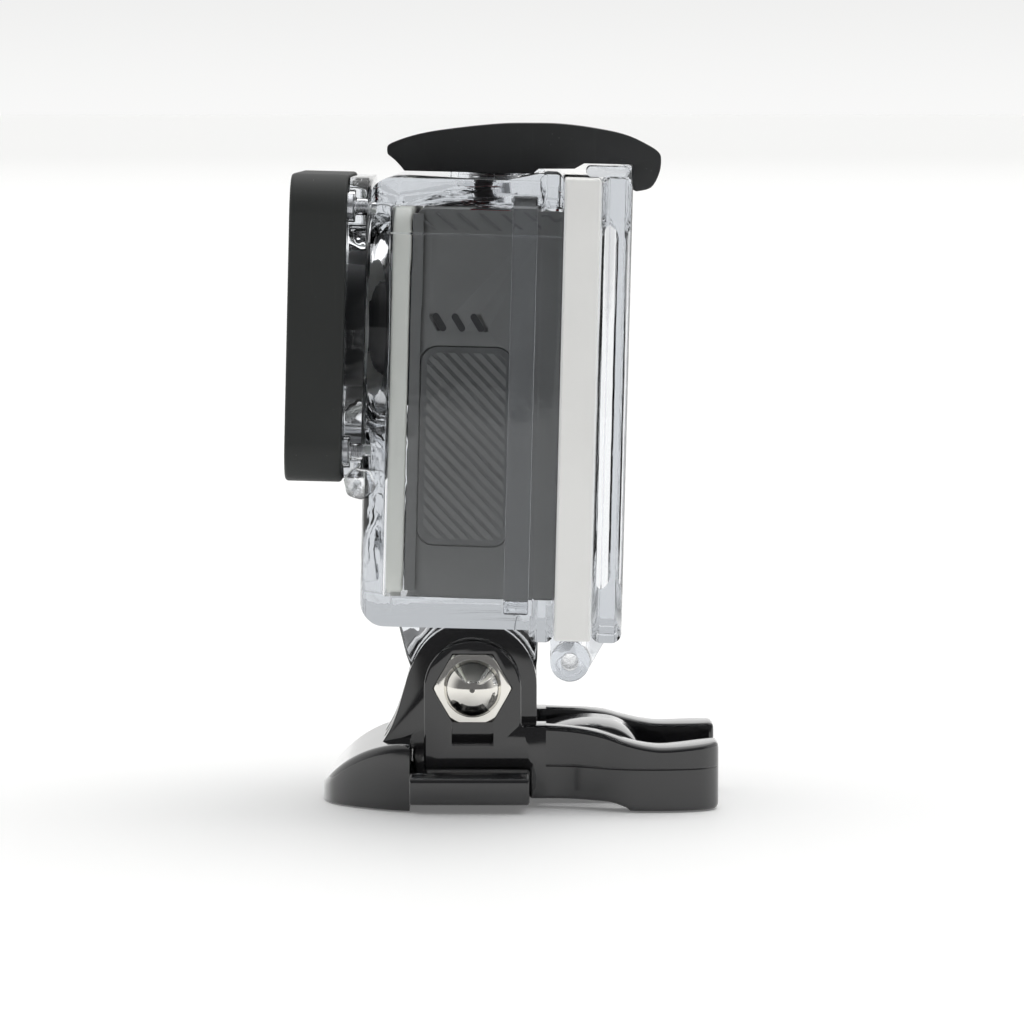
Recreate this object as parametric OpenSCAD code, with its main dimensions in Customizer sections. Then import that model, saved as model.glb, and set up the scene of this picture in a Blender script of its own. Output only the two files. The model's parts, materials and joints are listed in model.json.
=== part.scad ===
// Small action camera in a clear dive housing on a quick-release buckle.
// X is the width, -Y the way the lens looks, +Z up; z = 0 is the buckle's base plane.
// Everything above the pivot is drawn square to the housing, about the pivot axis,
// and then leaned back by the tilt at which the clamp holds it.

/* [Pivot] */
// Height of the tilt pivot over the base plane
pivot_z = 14; // [13.5:0.1:15]
// Lean of the housing at rest, lens up
lean = 1.4; // [0:0.1:3]
// Thickness of one buckle prong
prong_t = 3; // [2.9:0.05:3.05]
// Radius of the prongs and fingers round the pivot
ear_r = 7.5; // [7.2:0.1:7.8]
// Radius of the clamp screw
screw_r = 2.5; // [2.4:0.05:2.55]

/* [Buckle] */
// Half width of the buckle's rails
rail_half = 16.5; // [16:0.1:17]
// Front tip of the nose
nose_front = 17.9; // [17:0.1:18.5]
// Rear end of the spring legs
leg_rear = 28.8; // [28:0.1:29.5]
// Height of the nose's crown
crown_z = 7.8; // [7.5:0.1:8.2]
// Size of the acorn nut across its flats
nut_af = 8; // [7.8:0.1:8]

/* [Housing] */
// Half width of the clear shell
shell_half = 32.75; // [32.5:0.05:33]
// Front face of the shell
shell_front = -12.8; // [-13:0.1:-12.6]
// Rear face of the shell's flange
shell_rear = 9.2; // [9.1:0.05:9.3]
// Underside of the shell
shell_low = 9.2; // [9:0.1:9.4]
// Top of the shell
shell_top = 59.7; // [59.5:0.1:59.8]
// Wall of the shell
wall = 2.4; // [2.2:0.1:2.6]
// Rear face of the back door
door_rear = 16.9; // [16.8:0.05:17]

/* [Lens port] */
// Sideways offset of the lens axis
lens_x = 15.5; // [15:0.1:15.6]
// Height of the lens axis over the pivot
lens_z = 42.5; // [42.2:0.1:42.6]
// Outer width of the protective cap
cap_w = 34.8; // [34.6:0.1:35]
// Front face of the cap
cap_front = -21.6; // [-21.8:0.1:-21.6]

/* [Camera] */
// Half width of the camera
cam_half = 29.5; // [29:0.1:29.6]
// Front face of the camera's front plate
cam_front = -9.9; // [-9.9:0.05:-9.8]
// Rear face of the camera
cam_rear = 11.1; // [11:0.05:11.2]
// Underside of the camera
cam_low = 12.6; // [12.5:0.05:12.7]
// Top of the camera
cam_top = 56.2; // [56:0.05:56.3]

/* [Hidden] */
$fn = 64;

run_gap = 0.05;          // radial clearance of a running fit
nose_rear = -7.3;
nose_half = 14.5;
nose_r = 12.9;           // arc of the nose seen from the side
cross_crown_r = 60;      // crown of the nose seen from the front
deck_rear = 6.7;
shoulder_x = 11;         // outer face of the shoulders and of the nut's boss
shoulder_front = -5.7;
boss_r = 5.7;
tongue_half = 6.2;
hinge_y = 11.3;          // back door's hinge axis, about the pivot
hinge_z = 3.5;
hinge_r = 2.3;
hinge_pin_r = 1;
knuckle_half = 9.6;      // housing's hinge knuckle
door_lug_out = 12.3;     // outer face of the door's lugs
latch_y = 18.5;          // latch's axis, about the pivot
latch_z = 60;
latch_half = 12;
trunnion_r = 0.9;
flange_front = 6.4;
flange_half = shell_half + 0.6;
flange_low = 7.9;
flange_top = 60.5;
door_front = 13.4;
panel_t = 0.15;          // height of the step round the side's panel
panel_top = 53.6;
side_rib_y = 3.3;
port_half = 16.5;
port_front = -19.9;
port_foot = -15;         // front face of the port frame's foot
window_r = 13.2;
bore_r = 11.6;           // clear way for the lens barrel
barrel_r = 9.3;
barrel_front = -18.2;
shutter_x = -18;
shutter_y = 0.6;
power_x = -20;
power_z = 24.5;
mode_y = 1.5;
mode_z = 42;
plunger_r = 1.6;
pocket = 1.5;            // depth of the room for the spring under a plunger's cap
plate_t = 2.1;
skin = 1.3;              // wall of the camera's own casing
body_front = cam_front + plate_t;
leg_axis_x = 10.3;       // upright axis on which a spring leg bends
leg_axis_y = 8.6;
leg_root_r = 2.2;
leg_height = 10;
nut_ac = nut_af / cos(30);
nut_x = 7.4;             // inner face of the nut

module tilted() {
    translate([0, 0, pivot_z]) rotate([-lean, 0, 0]) children();
}

// A rectangle with round corners, from its lowest and highest corner.
module round_rect(low, high, r) {
    translate([low[0] + r, low[1]]) square([high[0] - low[0] - 2 * r, high[1] - low[1]]);
    translate([low[0], low[1] + r]) square([high[0] - low[0], high[1] - low[1] - 2 * r]);
    for (x = [low[0] + r, high[0] - r], y = [low[1] + r, high[1] - r])
        translate([x, y]) circle(r);
}

// A 2-D shape drawn in the (Y, Z) plane, made solid from x0 to x1.
module side_profile(x0, x1) {
    translate([x0, 0, 0]) rotate([90, 0, 90]) linear_extrude(x1 - x0) children();
}

// A 2-D shape drawn in the (X, Z) plane, made solid from y0 to y1.
module front_profile(y0, y1) {
    translate([0, y1, 0]) rotate([90, 0, 0]) linear_extrude(y1 - y0) children();
}

// A box whose upright and crosswise edges are round.
module soft_box(low, high, r_plan, r_side) {
    intersection() {
        translate([0, 0, low[2]]) linear_extrude(high[2] - low[2])
            round_rect([low[0], low[1]], [high[0], high[1]], r_plan);
        side_profile(low[0], high[0])
            round_rect([low[1], low[2]], [high[1], high[2]], r_side);
    }
}

module block_2d(low, high) {
    translate(low) square(high - low);
}

module block(low, high) {
    translate(low) cube(high - low);
}

module along_x(x0, x1, y, z, r) {
    translate([x0, y, z]) rotate([0, 90, 0]) cylinder(h = x1 - x0, r = r);
}

module along_y(y0, y1, x, z, r) {
    translate([x, y1, z]) rotate([90, 0, 0]) cylinder(h = y1 - y0, r = r);
}

module ring(r, tube_r) {
    rotate_extrude() translate([r, 0]) circle(tube_r, $fn = 24);
}

// Helical spring along +Z as a stack of turns, closed by a thin seat at each end.
module coil_spring(r, wire_r, height, turns) {
    pitch = (height - 2 * wire_r) / turns;
    for (i = [0:turns]) translate([0, 0, wire_r + i * pitch]) ring(r, wire_r);
    for (a = [0, 180]) rotate([0, 0, a]) translate([r, 0, wire_r])
        cylinder(h = height - 2 * wire_r, r = wire_r * 0.6, $fn = 16);
}

// ---------- buckle ----------

// Half of the nose's plan; its blunt tip is the segment of a wide circle.
module nose_plan() {
    tip_r = 30;
    intersection() {
        translate([0, tip_r - nose_front]) circle(tip_r);
        for (s = [0, 1]) mirror([s, 0]) polygon([
            [-0.01, nose_rear], [nose_half, nose_rear], [13.7, -9.3], [12.3, -11.6],
            [9.9, -14.4], [7.4, -16.8], [4.9, -18.2], [-0.01, -19]
        ]);
    }
}

// The nose, crowned along and across.
module buckle_nose() {
    intersection() {
        linear_extrude(crown_z + 1) nose_plan();
        side_profile(-nose_half, nose_half) {
            translate([nose_rear + 0.3, crown_z - nose_r]) circle(nose_r);
            translate([-nose_front, 0]) square([3, 1.8]);
        }
        along_y(-20, 0, 0, crown_z + 0.5 - cross_crown_r, cross_crown_r);
    }
}

// Tongue between the legs, which bends down at its end.
module buckle_tongue() {
    side_profile(-tongue_half, tongue_half) polygon([
        [deck_rear - 0.1, 1], [17.5, 1], [19.3, 2.6], [19.1, 5], [17.6, 6.8], [14.5, 7.7],
        [11, 7.9], [deck_rear - 0.1, 7.9]
    ]);
}

module buckle_deck() {
    // Rails that run in the mount's channel, with a bevelled upper edge.
    front_profile(nose_rear, deck_rear) polygon([
        [-rail_half, 0.9], [-rail_half, 3.9], [-rail_half + 0.7, 4.6], [rail_half - 0.7, 4.6],
        [rail_half, 3.9], [rail_half, 0.9]
    ]);
    block([-8, nose_rear - 0.1, 4], [8, deck_rear, 7.9]);
    // Shoulders from which the spring legs run back, high beside the nut and low by the knob.
    block([-shoulder_x, shoulder_front, 4], [-6, deck_rear, 6]);
    block([6, shoulder_front, 4], [shoulder_x, deck_rear, 9.6]);
    // The base face under the pivot.
    block([-10, nose_rear - 0.1, 0], [10, 5, 1]);
}

// Outline of a prong, which flares into the deck in front.
module prong_outline() {
    circle(ear_r);
    polygon([[-6.6, 3.6], [-7.6, 0.6], [-8.7, -2.6], [-9.8, -5], [-10.3, -7], [-10.3, -8],
        [ear_r, -8], [ear_r, 0], [0, ear_r]]);
}

module prongs() {
    for (x = [-2 * prong_t, 0, 2 * prong_t])
        translate([0, 0, pivot_z]) side_profile(x - prong_t / 2, x + prong_t / 2)
            prong_outline();
}

// Raised boss on the left prong that holds the nut from turning.
module nut_boss() {
    translate([0, 0, pivot_z]) side_profile(7.4, shoulder_x) {
        circle(boss_r);
        translate([-boss_r, -9.6]) square([2 * boss_r, 9.6]);
    }
}

module buckle_base() {
    color("#191a1a") difference() {
        union() {
            buckle_nose();
            buckle_deck();
            buckle_tongue();
            prongs();
            nut_boss();
        }
        along_x(-8, 12, 0, pivot_z, screw_r + run_gap);
        translate([nut_x - 0.1, 0, pivot_z]) rotate([0, 90, 0]) rotate(30)
            cylinder(h = 5, r = nut_ac / 2 + 0.06, $fn = 6);
        // Notch under the nut, with a deeper slot at its foot.
        block([nut_x + 1, -2.45, pivot_z - 6.8], [12, 2.45, pivot_z - 3.9]);
        block([nut_x - 1, -2.45, pivot_z - 6.8], [12, 2.45, pivot_z - 5.6]);
        // Swing room of the housing's fingers between the prongs.
        for (x = [-3, 3])
            along_x(x - 1.5, x + 1.5, 0, pivot_z, ear_r + 1.2);
        // Sockets in which the spring legs bend.
        for (x = [-leg_axis_x, leg_axis_x]) translate([x, leg_axis_y, 0]) {
            translate([0, 0, 0.5]) cylinder(h = leg_height, r = leg_root_r + run_gap);
        }
    }
}

module acorn_nut() {
    color("#c9cbcc") translate([0, 0, pivot_z]) rotate([0, 90, 0]) rotate(30) difference() {
        union() {
            intersection() {
                translate([0, 0, nut_x]) cylinder(h = 3.9, r = nut_ac / 2, $fn = 6);
                translate([0, 0, nut_x]) cylinder(h = 3.9, r1 = 8.15, r2 = 4.25);
            }
            translate([0, 0, nut_x + 2.9]) intersection() {
                sphere(3.5);
                cylinder(h = 4, r = 3.6);
            }
        }
        translate([0, 0, nut_x - 0.1]) cylinder(h = 4.3, r = screw_r + run_gap);
    }
}

// Plan of the left leg: a slim spring from its root to a hooked end pad.
module leg_plan() {
    translate([leg_axis_x, leg_axis_y]) circle(leg_root_r);
    polygon([
        [leg_axis_x - 1.9, leg_axis_y + 0.5], [leg_axis_x + 1.9, leg_axis_y - 0.5], [14, 13],
        [14.8, 18], [14.8, 22], [13.9, 25.5], [12.2, 27.9], [10, leg_rear], [7.2, leg_rear],
        [7.6, 26.5], [9.4, 23], [10.6, 19], [10.4, 14]
    ]);
}

module leg() {
    intersection() {
        linear_extrude(leg_height + 1) leg_plan();
        side_profile(0, 17) polygon([
            [leg_axis_y - 3, 1], [18.6, 1], [19.1, 0], [leg_rear, 0], [leg_rear, 7.5],
            [28.4, 7.9], [23, 7.45], [21, 7.6], [18, 8.5], [15, 9.3], [11, 9.8],
            [8, leg_height], [leg_axis_y - 3, leg_height]
        ]);
    }
}

module left_leg() { color("#191a1a") leg(); }
module right_leg() { color("#191a1a") mirror([1, 0, 0]) leg(); }

module clamp_bolt() {
    color("#b9bbbd") {
        along_x(-7.9, nut_x + 4.1, 0, pivot_z, screw_r);
        along_x(-10.4, -7.9, 0, pivot_z, 3.9);
    }
}

module clamp_knob() {
    lobes = 6;
    color("#1d1e1e") translate([-19.5, 0, pivot_z]) rotate([0, 90, 0]) difference() {
        union() {
            cylinder(h = 10, r = 7.2);
            translate([0, 0, 10]) cylinder(h = 1.7, r = 5);
        }
        for (i = [0:lobes - 1]) rotate([0, 0, i * 360 / lobes])
            translate([9.3, 0, -1]) cylinder(h = 10, r = 3);
        translate([0, 0, 9.1]) cylinder(h = 3, r = 3.9);
    }
}

// ---------- housing ----------

module housing_fingers() {
    color("#dfe6ea", 0.4) tilted() difference() {
        union() for (s = [-1, 1]) side_profile(min(s * 1.6, s * 4.4), max(s * 1.6, s * 4.4)) {
            circle(ear_r - 0.1);
            polygon([[-9.7, shell_low], [-8, 3], [-7.2, 1], [7.3, 1], [7.5, 3], [7.5, flange_low],
                [flange_front, flange_low], [flange_front, shell_low]]);
        }
        along_x(-5, 5, 0, 0, screw_r + run_gap);
    }
}

module shell_cavity() {
    soft_box([-cam_half - 0.25, cam_front - 0.15, cam_low - 0.1],
        [cam_half + 0.25, shell_rear + 8, cam_top + 0.3], 0.5, 0.3);
}

module door_knuckle() {
    side_profile(-knuckle_half, knuckle_half) {
        translate([hinge_y, hinge_z]) circle(hinge_r);
        polygon([[8.7, flange_low + 0.2], [shell_rear, flange_low + 0.2],
            [hinge_y + 0.6, hinge_z + 2.2], [hinge_y - 2.1, hinge_z - 0.9]]);
    }
}

// Faint steps on the side walls and the ramp up to the flange.
module side_steps() {
    side_profile(-shell_half - panel_t, shell_half + panel_t)
        round_rect([shell_front + 3.6, shell_low + 3], [flange_front + 0.5, panel_top], 0.6);
    side_profile(-shell_half - 2 * panel_t, shell_half + 2 * panel_t)
        block_2d([side_rib_y, shell_low + 1.6], [flange_front + 0.5, shell_top - 1.6]);
    for (s = [0, 1]) mirror([s, 0, 0]) side_profile(latch_half + 0.6, shell_half - 2) polygon([
        [side_rib_y - 0.6, shell_top - 1], [side_rib_y - 0.6, shell_top], [flange_front, flange_top],
        [flange_front + 0.5, flange_top], [flange_front + 0.5, shell_top - 1]
    ]);
}

module housing_shell() {
    color("#dfe6ea", 0.35) tilted() difference() {
        union() {
            intersection() {
                soft_box([-shell_half, shell_front, shell_low],
                    [shell_half, shell_rear + 4, shell_top], 3.5, 2.8);
                block([-shell_half, shell_front, shell_low], [shell_half, shell_rear, shell_top]);
            }
            soft_box([-flange_half, flange_front, flange_low], [flange_half, shell_rear, flange_top],
                1, 1);
            door_knuckle();
            side_steps();
            // Collars round the plungers.
            translate([shutter_x, shutter_y, shell_top - 1]) cylinder(h = 1.4, r = 5.4);
            along_y(shell_front - 1.6, shell_front + 1, power_x, power_z, 5.4);
            along_x(-shell_half - 0.7, -shell_half + 1, mode_y, mode_z, 4.6);
        }
        shell_cavity();
        // Room for the camera's own buttons.
        along_y(cam_front - 0.9, cam_front, power_x, power_z, 4);
        along_x(-cam_half - 0.9, -cam_half, mode_y, mode_z, 3.2);
        translate([shutter_x, shutter_y, cam_top]) cylinder(h = 0.9, r = 3.6);
        along_y(-16, -8, lens_x, lens_z, bore_r);
        translate([shutter_x, shutter_y, 50]) cylinder(h = 15, r = plunger_r + run_gap);
        translate([shutter_x, shutter_y, shell_top + 0.8 - pocket]) cylinder(h = 3, r = 4.4);
        along_y(-20, -8, power_x, power_z, plunger_r + run_gap);
        along_y(-20, shell_front - 1.6 + pocket, power_x, power_z, 4.4);
        along_x(-40, -28, mode_y, mode_z, plunger_r + run_gap);
        along_x(-40, -shell_half - 0.9 + pocket, mode_y, mode_z, 3.7);
        along_x(-knuckle_half - 1, knuckle_half + 1, hinge_y, hinge_z, hinge_pin_r);
        // Groove for the seal behind the port frame.
        translate([lens_x, shell_front + 0.8, lens_z]) rotate([90, 0, 0])
            difference() { cylinder(h = 1, r = 14.2); translate([0, 0, -1]) cylinder(h = 3, r = 12.8); }
        for (sx = [-1, 1], sz = [-1, 1])
            along_y(-14, shell_front + 1.4, lens_x + sx * 13.6, lens_z + sz * 13.6, 0.8);
    }
}

module port_frame() {
    color("#dfe6ea", 0.4) tilted() difference() {
        union() {
            front_profile(port_front, shell_front)
                round_rect([lens_x - port_half, lens_z - port_half],
                    [lens_x + port_half, lens_z + port_half], 4);
            front_profile(port_foot, shell_front)
                round_rect([lens_x - port_half - 0.6, lens_z - port_half - 0.6],
                    [lens_x + port_half + 0.6, lens_z + port_half + 0.6], 4.4);
        }
        along_y(-25, -10, lens_x, lens_z, bore_r);
        along_y(-25, port_front + 1.3, lens_x, lens_z, window_r);
        for (sx = [-1, 1], sz = [-1, 1])
            translate([lens_x + sx * 13.6, 0, lens_z + sz * 13.6]) {
                along_y(-25, -10, 0, 0, 0.8);
                along_y(-25, -14.2, 0, 0, 1.6);
            }
    }
}

module port_window() {
    color("#e8eef2", 0.3) tilted()
        along_y(port_front + 0.1, port_front + 1.3, lens_x, lens_z, window_r - 0.05);
}

module port_seal() {
    color("#e4e4e0") tilted() translate([lens_x, shell_front + 0.4, lens_z]) rotate([90, 0, 0])
        ring(13.5, 0.4);
}

module port_screws() {
    color("#b9bbbd") tilted() for (sx = [-1, 1], sz = [-1, 1]) {
        x = lens_x + sx * 13.6;
        z = lens_z + sz * 13.6;
        difference() {
            union() {
                along_y(-15.2, -14.2, x, z, 1.5);
                along_y(-14.3, shell_front + 1.3, x, z, 0.75);
            }
            along_y(-15.3, -14.7, x, z, 0.6);
        }
    }
}

module door_hinge_pin() {
    color("#d9dde0") tilted() along_x(-door_lug_out, door_lug_out, hinge_y, hinge_z, hinge_pin_r);
}

module port_cap() {
    half = cap_w / 2;
    inner = port_half + 0.1;
    color("#323433") tilted() difference() {
        front_profile(cap_front, port_foot - 0.1)
            round_rect([lens_x - half, lens_z - half], [lens_x + half, lens_z + half], 4.6);
        front_profile(port_front - 0.15, 0)
            round_rect([lens_x - inner, lens_z - inner], [lens_x + inner, lens_z + inner], 4.1);
    }
}

// Push-button plunger along +Z: a cap, a stem and a retaining foot; z = 0 is under the cap.
module plunger(cap_r, cap_t, reach) {
    cylinder(h = cap_t, r = cap_r);
    translate([0, 0, -reach]) cylinder(h = reach + 0.1, r = plunger_r);
}

module at_shutter() {
    tilted() translate([shutter_x, shutter_y, shell_top + 0.8]) children();
}

module at_power() {
    tilted() translate([power_x, shell_front - 1.6, power_z]) rotate([90, 0, 0]) children();
}

module at_mode() {
    tilted() translate([-shell_half - 0.9, mode_y, mode_z]) rotate([0, -90, 0]) children();
}

shutter_reach = shell_top + 0.8 - cam_top - 0.4;
power_reach = cam_front - shell_front + 1.6 - 0.35;
mode_reach = shell_half + 0.9 - cam_half - 0.35;

module shutter_plunger() { color("#2a2c2c") at_shutter() plunger(4, 1.4, shutter_reach); }
module power_plunger() { color("#dfe6ea", 0.5) at_power() plunger(4.1, 2, power_reach); }
module mode_plunger() { color("#2a2c2c") at_mode() plunger(3.4, 1.1, mode_reach); }

// Seal round a plunger's stem, on the floor of its pocket.
module oring() {
    translate([0, 0, -pocket]) difference() {
        cylinder(h = 0.4, r = plunger_r + 0.6);
        translate([0, 0, -1]) cylinder(h = 3, r = plunger_r + 0.03);
    }
}

module shutter_oring() { color("#1b1b1b") at_shutter() oring(); }
module power_oring() { color("#1b1b1b") at_power() oring(); }
module mode_oring() { color("#1b1b1b") at_mode() oring(); }

module button_spring() {
    translate([0, 0, 0.03 - pocket]) coil_spring(2.8, 0.16, pocket - 0.06, 2);
}

module shutter_spring() { color("#c9cbcc") at_shutter() button_spring(); }
module power_spring() { color("#c9cbcc") at_power() button_spring(); }
module mode_spring() { color("#c9cbcc") at_mode() button_spring(); }

// ---------- back door ----------

module back_door() {
    door_low = flange_low + 0.1;
    color("#dfe6ea", 0.35) tilted() difference() {
        union() {
            soft_box([-flange_half, door_front, door_low], [flange_half, door_rear, 60.2], 1, 1.2);
            // Lip along the top, which the latch presses on.
            side_profile(-14.5, 14.5)
                round_rect([11.8, 60.1], [door_rear, 61.3], 0.55);
            // Hinge lugs.
            for (x = [-door_lug_out, knuckle_half + 0.15])
                side_profile(x, x + door_lug_out - knuckle_half - 0.15) {
                    translate([hinge_y, hinge_z]) circle(hinge_r);
                    polygon([[hinge_y - 1, hinge_z + 2], [door_front, door_low + 1],
                        [door_rear, door_low + 1], [hinge_y + 1.7, hinge_z - 1.55]]);
                }
            // Middle ear and trunnions that carry the latch.
            side_profile(-3, 3) {
                translate([latch_y, latch_z]) circle(1.45);
                translate([door_rear - 1, latch_z - 1.45]) square([latch_y - door_rear + 1, 2.9]);
            }
            along_x(-6, 6, latch_y, latch_z, trunnion_r);
        }
        // Hollow in the door's front face.
        soft_box([-28, door_front - 5, 13.5], [28, door_rear - 1.4, 55], 3, 2);
        along_x(-14, 14, hinge_y, hinge_z, hinge_pin_r + run_gap);
        // Groove in which the latch's heel turns.
        for (s = [-1, 1])
            along_x(min(s * 3, s * 12.3), max(s * 3, s * 12.3), latch_y, latch_z, 2.25);
    }
    color("#dfe6ea", 0.35) tilted() along_x(-6, 6, latch_y, latch_z, trunnion_r);
}

module door_gasket() {
    color("#dededa") tilted() difference() {
        soft_box([-flange_half + 0.3, shell_rear + 0.05, flange_low + 0.15],
            [flange_half - 0.3, door_front, 60], 0.4, 0.3);
        soft_box([-cam_half - 0.2, 0, cam_low - 0.2], [cam_half + 0.2, 30, cam_top + 0.3], 2, 2);
    }
}

module latch_outline() {
    polygon([
        [-11.4, 62.1], [-11.4, 62.8], [-10.95, 63.5], [-7.6, 64.7], [-3, 65.4], [1.6, 66],
        [5.1, 66.1], [8.6, 66.2], [12.3, 65.8], [16.2, 65.1], [18.8, 64], [20.1, 63.2],
        [20.4, 62.3], [20.3, 60.6], [19.6, 58.9], [17.5, 58.4], [17.1, 58.6],
        [17.1, 61.6], [11.5, 61.6], [10.4, 60.9], [6.2, 60.8], [5.6, 60.2],
        [-9.3, 60.2], [-9.8, 60.5], [-10.55, 61.4]
    ]);
}

module latch() {
    color("#2e3030") tilted() difference() {
        side_profile(-latch_half, latch_half) latch_outline();
        block([-3.15, 12, 57], [3.15, 18.6, 62]);
        along_x(-3.15, 3.15, latch_y, latch_z, 1.75);
        along_x(-6.1, 6.1, latch_y, latch_z, trunnion_r + run_gap);
        // Underside hollow over the shell.
        block([-9.5, -7, 59], [9.5, 4, 61.5]);
    }
}

// ---------- camera ----------

module camera_body() {
    color("#6f7171") tilted() difference() {
        soft_box([-cam_half, body_front, cam_low], [cam_half, cam_rear, cam_top], 3, 2);
        block([-cam_half + skin, body_front - 1, cam_low + skin],
            [cam_half - skin, cam_rear - skin, cam_top - skin]);
        // Openings for the screen, the side door, the battery and the buttons.
        block([-23, 8, 17], [23, 13, 49]);
        side_profile(cam_half - 0.8, 40) round_rect([-6.5, 18.3], [4.1, 40.9], 2);
        block([-25, body_front + 2.2, cam_low - 1], [12, 8.4, cam_low + skin + 0.1]);
        translate([shutter_x, shutter_y, cam_top - 2]) cylinder(h = 4, r = 3.5);
        along_x(-40, -25, mode_y, mode_z, 2.8);
        for (i = [0:2]) side_profile(cam_half - 0.6, 40)
            translate([-4.9 + 2.65 * i, 43.5]) rotate(30) round_rect([-0.35, -1.1], [0.35, 1.1], 0.34);
    }
}

module front_plate() {
    color("#c8c8bc") tilted() difference() {
        front_profile(cam_front, body_front - 0.01)
            round_rect([-cam_half, cam_low], [cam_half, cam_top], 3);
        along_y(-15, 0, lens_x, lens_z, barrel_r + 0.1);
        along_y(-15, 0, power_x, power_z, 3.6);
        front_profile(-15, cam_front + 1) round_rect([-26, 36], [-10, 49], 1);
    }
}

module lens_barrel() {
    color("#232424") tilted() difference() {
        union() {
            along_y(barrel_front, cam_front + 3, lens_x, lens_z, barrel_r);
            along_y(body_front, 2, lens_x, lens_z, 7.5);
        }
        along_y(-20, barrel_front + 1, lens_x, lens_z, 8.2);
        along_y(-20, 3, lens_x, lens_z, 6.2);
    }
}

module lens_cover() {
    color("#3a4048", 0.6) tilted()
        along_y(barrel_front + 0.1, barrel_front + 1, lens_x, lens_z, 8.1);
}

module lens_group() {
    color("#5c6a78", 0.8) tilted() {
        for (y = [-15.5, -11.5, -7.5, -3.5])
            along_y(y, y + 1.6, lens_x, lens_z, 6.2);
        intersection() {
            translate([lens_x, -9.5, lens_z]) sphere(7.5);
            along_y(-17.1, -15.4, lens_x, lens_z, 6.2);
        }
    }
}

module image_sensor() {
    color("#30403a") tilted() {
        block([lens_x - 6.5, 2.05, lens_z - 5.5], [lens_x + 6.5, 3.2, lens_z + 5.5]);
        block([lens_x - 4, 1.4, lens_z - 3.2], [lens_x + 4, 2.06, lens_z + 3.2]);
    }
}

module main_board() {
    color("#20503a") tilted() {
        block([-27, 3.3, 31], [27, 4.3, 51]);
        block([-20, 4.29, 36], [-8, 5.3, 48]);
        block([-2, 4.29, 38], [8, 5.1, 47]);
    }
}

module heat_spreader() {
    color("#b4b6b8") tilted() block([-21, 5.4, 33], [24, 6.2, 50.5]);
}

module battery() {
    color("#3a3c40") tilted() soft_box([-24.5, -5.4, cam_low + 1.6], [6, 2.9, 36.5], 1.5, 0.8);
}

module battery_door() {
    color("#6f7171") tilted() {
        block([-24.9, body_front + 2.3, cam_low], [11.9, 8.3, cam_low + 1]);
        block([5, -3, cam_low + 0.9], [6.5, 5, cam_low + 1.5]);
    }
}

module memory_card() {
    color("#26282a") tilted() block([8, -1, 15.5], [19, 0, 30.5]);
}

module speaker() {
    color("#2b2d2e") tilted() {
        along_x(cam_half - 4.6, cam_half - skin, -2.2, 46.5, 3.4);
    }
}

module side_door() {
    color("#6b6d6d") tilted() difference() {
        side_profile(cam_half - 0.75, cam_half) round_rect([-6.4, 18.4], [4, 40.8], 1.9);
        intersection() {
            side_profile(cam_half - 0.2, cam_half + 1) round_rect([-5.7, 19.1], [3.3, 40.1], 1.4);
            for (i = [0:13]) side_profile(cam_half - 0.2, cam_half + 1)
                translate([-1.2, 18 + 2.1 * i]) rotate(-45) square([14, 0.5], center = true);
        }
    }
}

module rear_screen() {
    color("#0e0f10") tilted() block([-22.95, 9.9, 17.05], [22.95, cam_rear - 0.05, 48.95]);
}

module status_display() {
    color("#20262a") tilted() front_profile(cam_front + 0.02, cam_front + 0.98)
        round_rect([-25.9, 36.1], [-10.1, 48.9], 0.9);
}

module camera_shutter_button() {
    color("#8a2b2b") tilted() translate([shutter_x, shutter_y, cam_top - 1.25])
        cylinder(h = 1.6, r = 3.4);
}

module camera_power_button() {
    color("#2a2c2c") tilted() along_y(cam_front - 0.3, cam_front + 1.4, power_x, power_z, 3.5);
}

module camera_mode_button() {
    color("#4d4f4f") tilted() along_x(-cam_half - 0.3, -cam_half + 1.2, mode_y, mode_z, 2.7);
}

buckle_base();
acorn_nut();
left_leg();
right_leg();
clamp_bolt();
clamp_knob();
housing_shell();
housing_fingers();
port_frame();
port_window();
port_seal();
port_screws();
door_hinge_pin();
port_cap();
shutter_plunger();
power_plunger();
mode_plunger();
shutter_oring();
power_oring();
mode_oring();
shutter_spring();
power_spring();
mode_spring();
back_door();
door_gasket();
latch();
camera_body();
front_plate();
lens_barrel();
lens_cover();
lens_group();
image_sensor();
main_board();
heat_spreader();
battery();
battery_door();
memory_card();
speaker();
side_door();
rear_screen();
status_display();
camera_shutter_button();
camera_power_button();
camera_mode_button();
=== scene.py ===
"""Action camera in a clear dive housing on a quick-release buckle: finishes, detailed shells and studio.

The frame holds every rigid part at its real size. This script gives those parts their finished
surfaces, builds the shells that need finer shapes, and lights them in a plain studio.
"""

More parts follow.
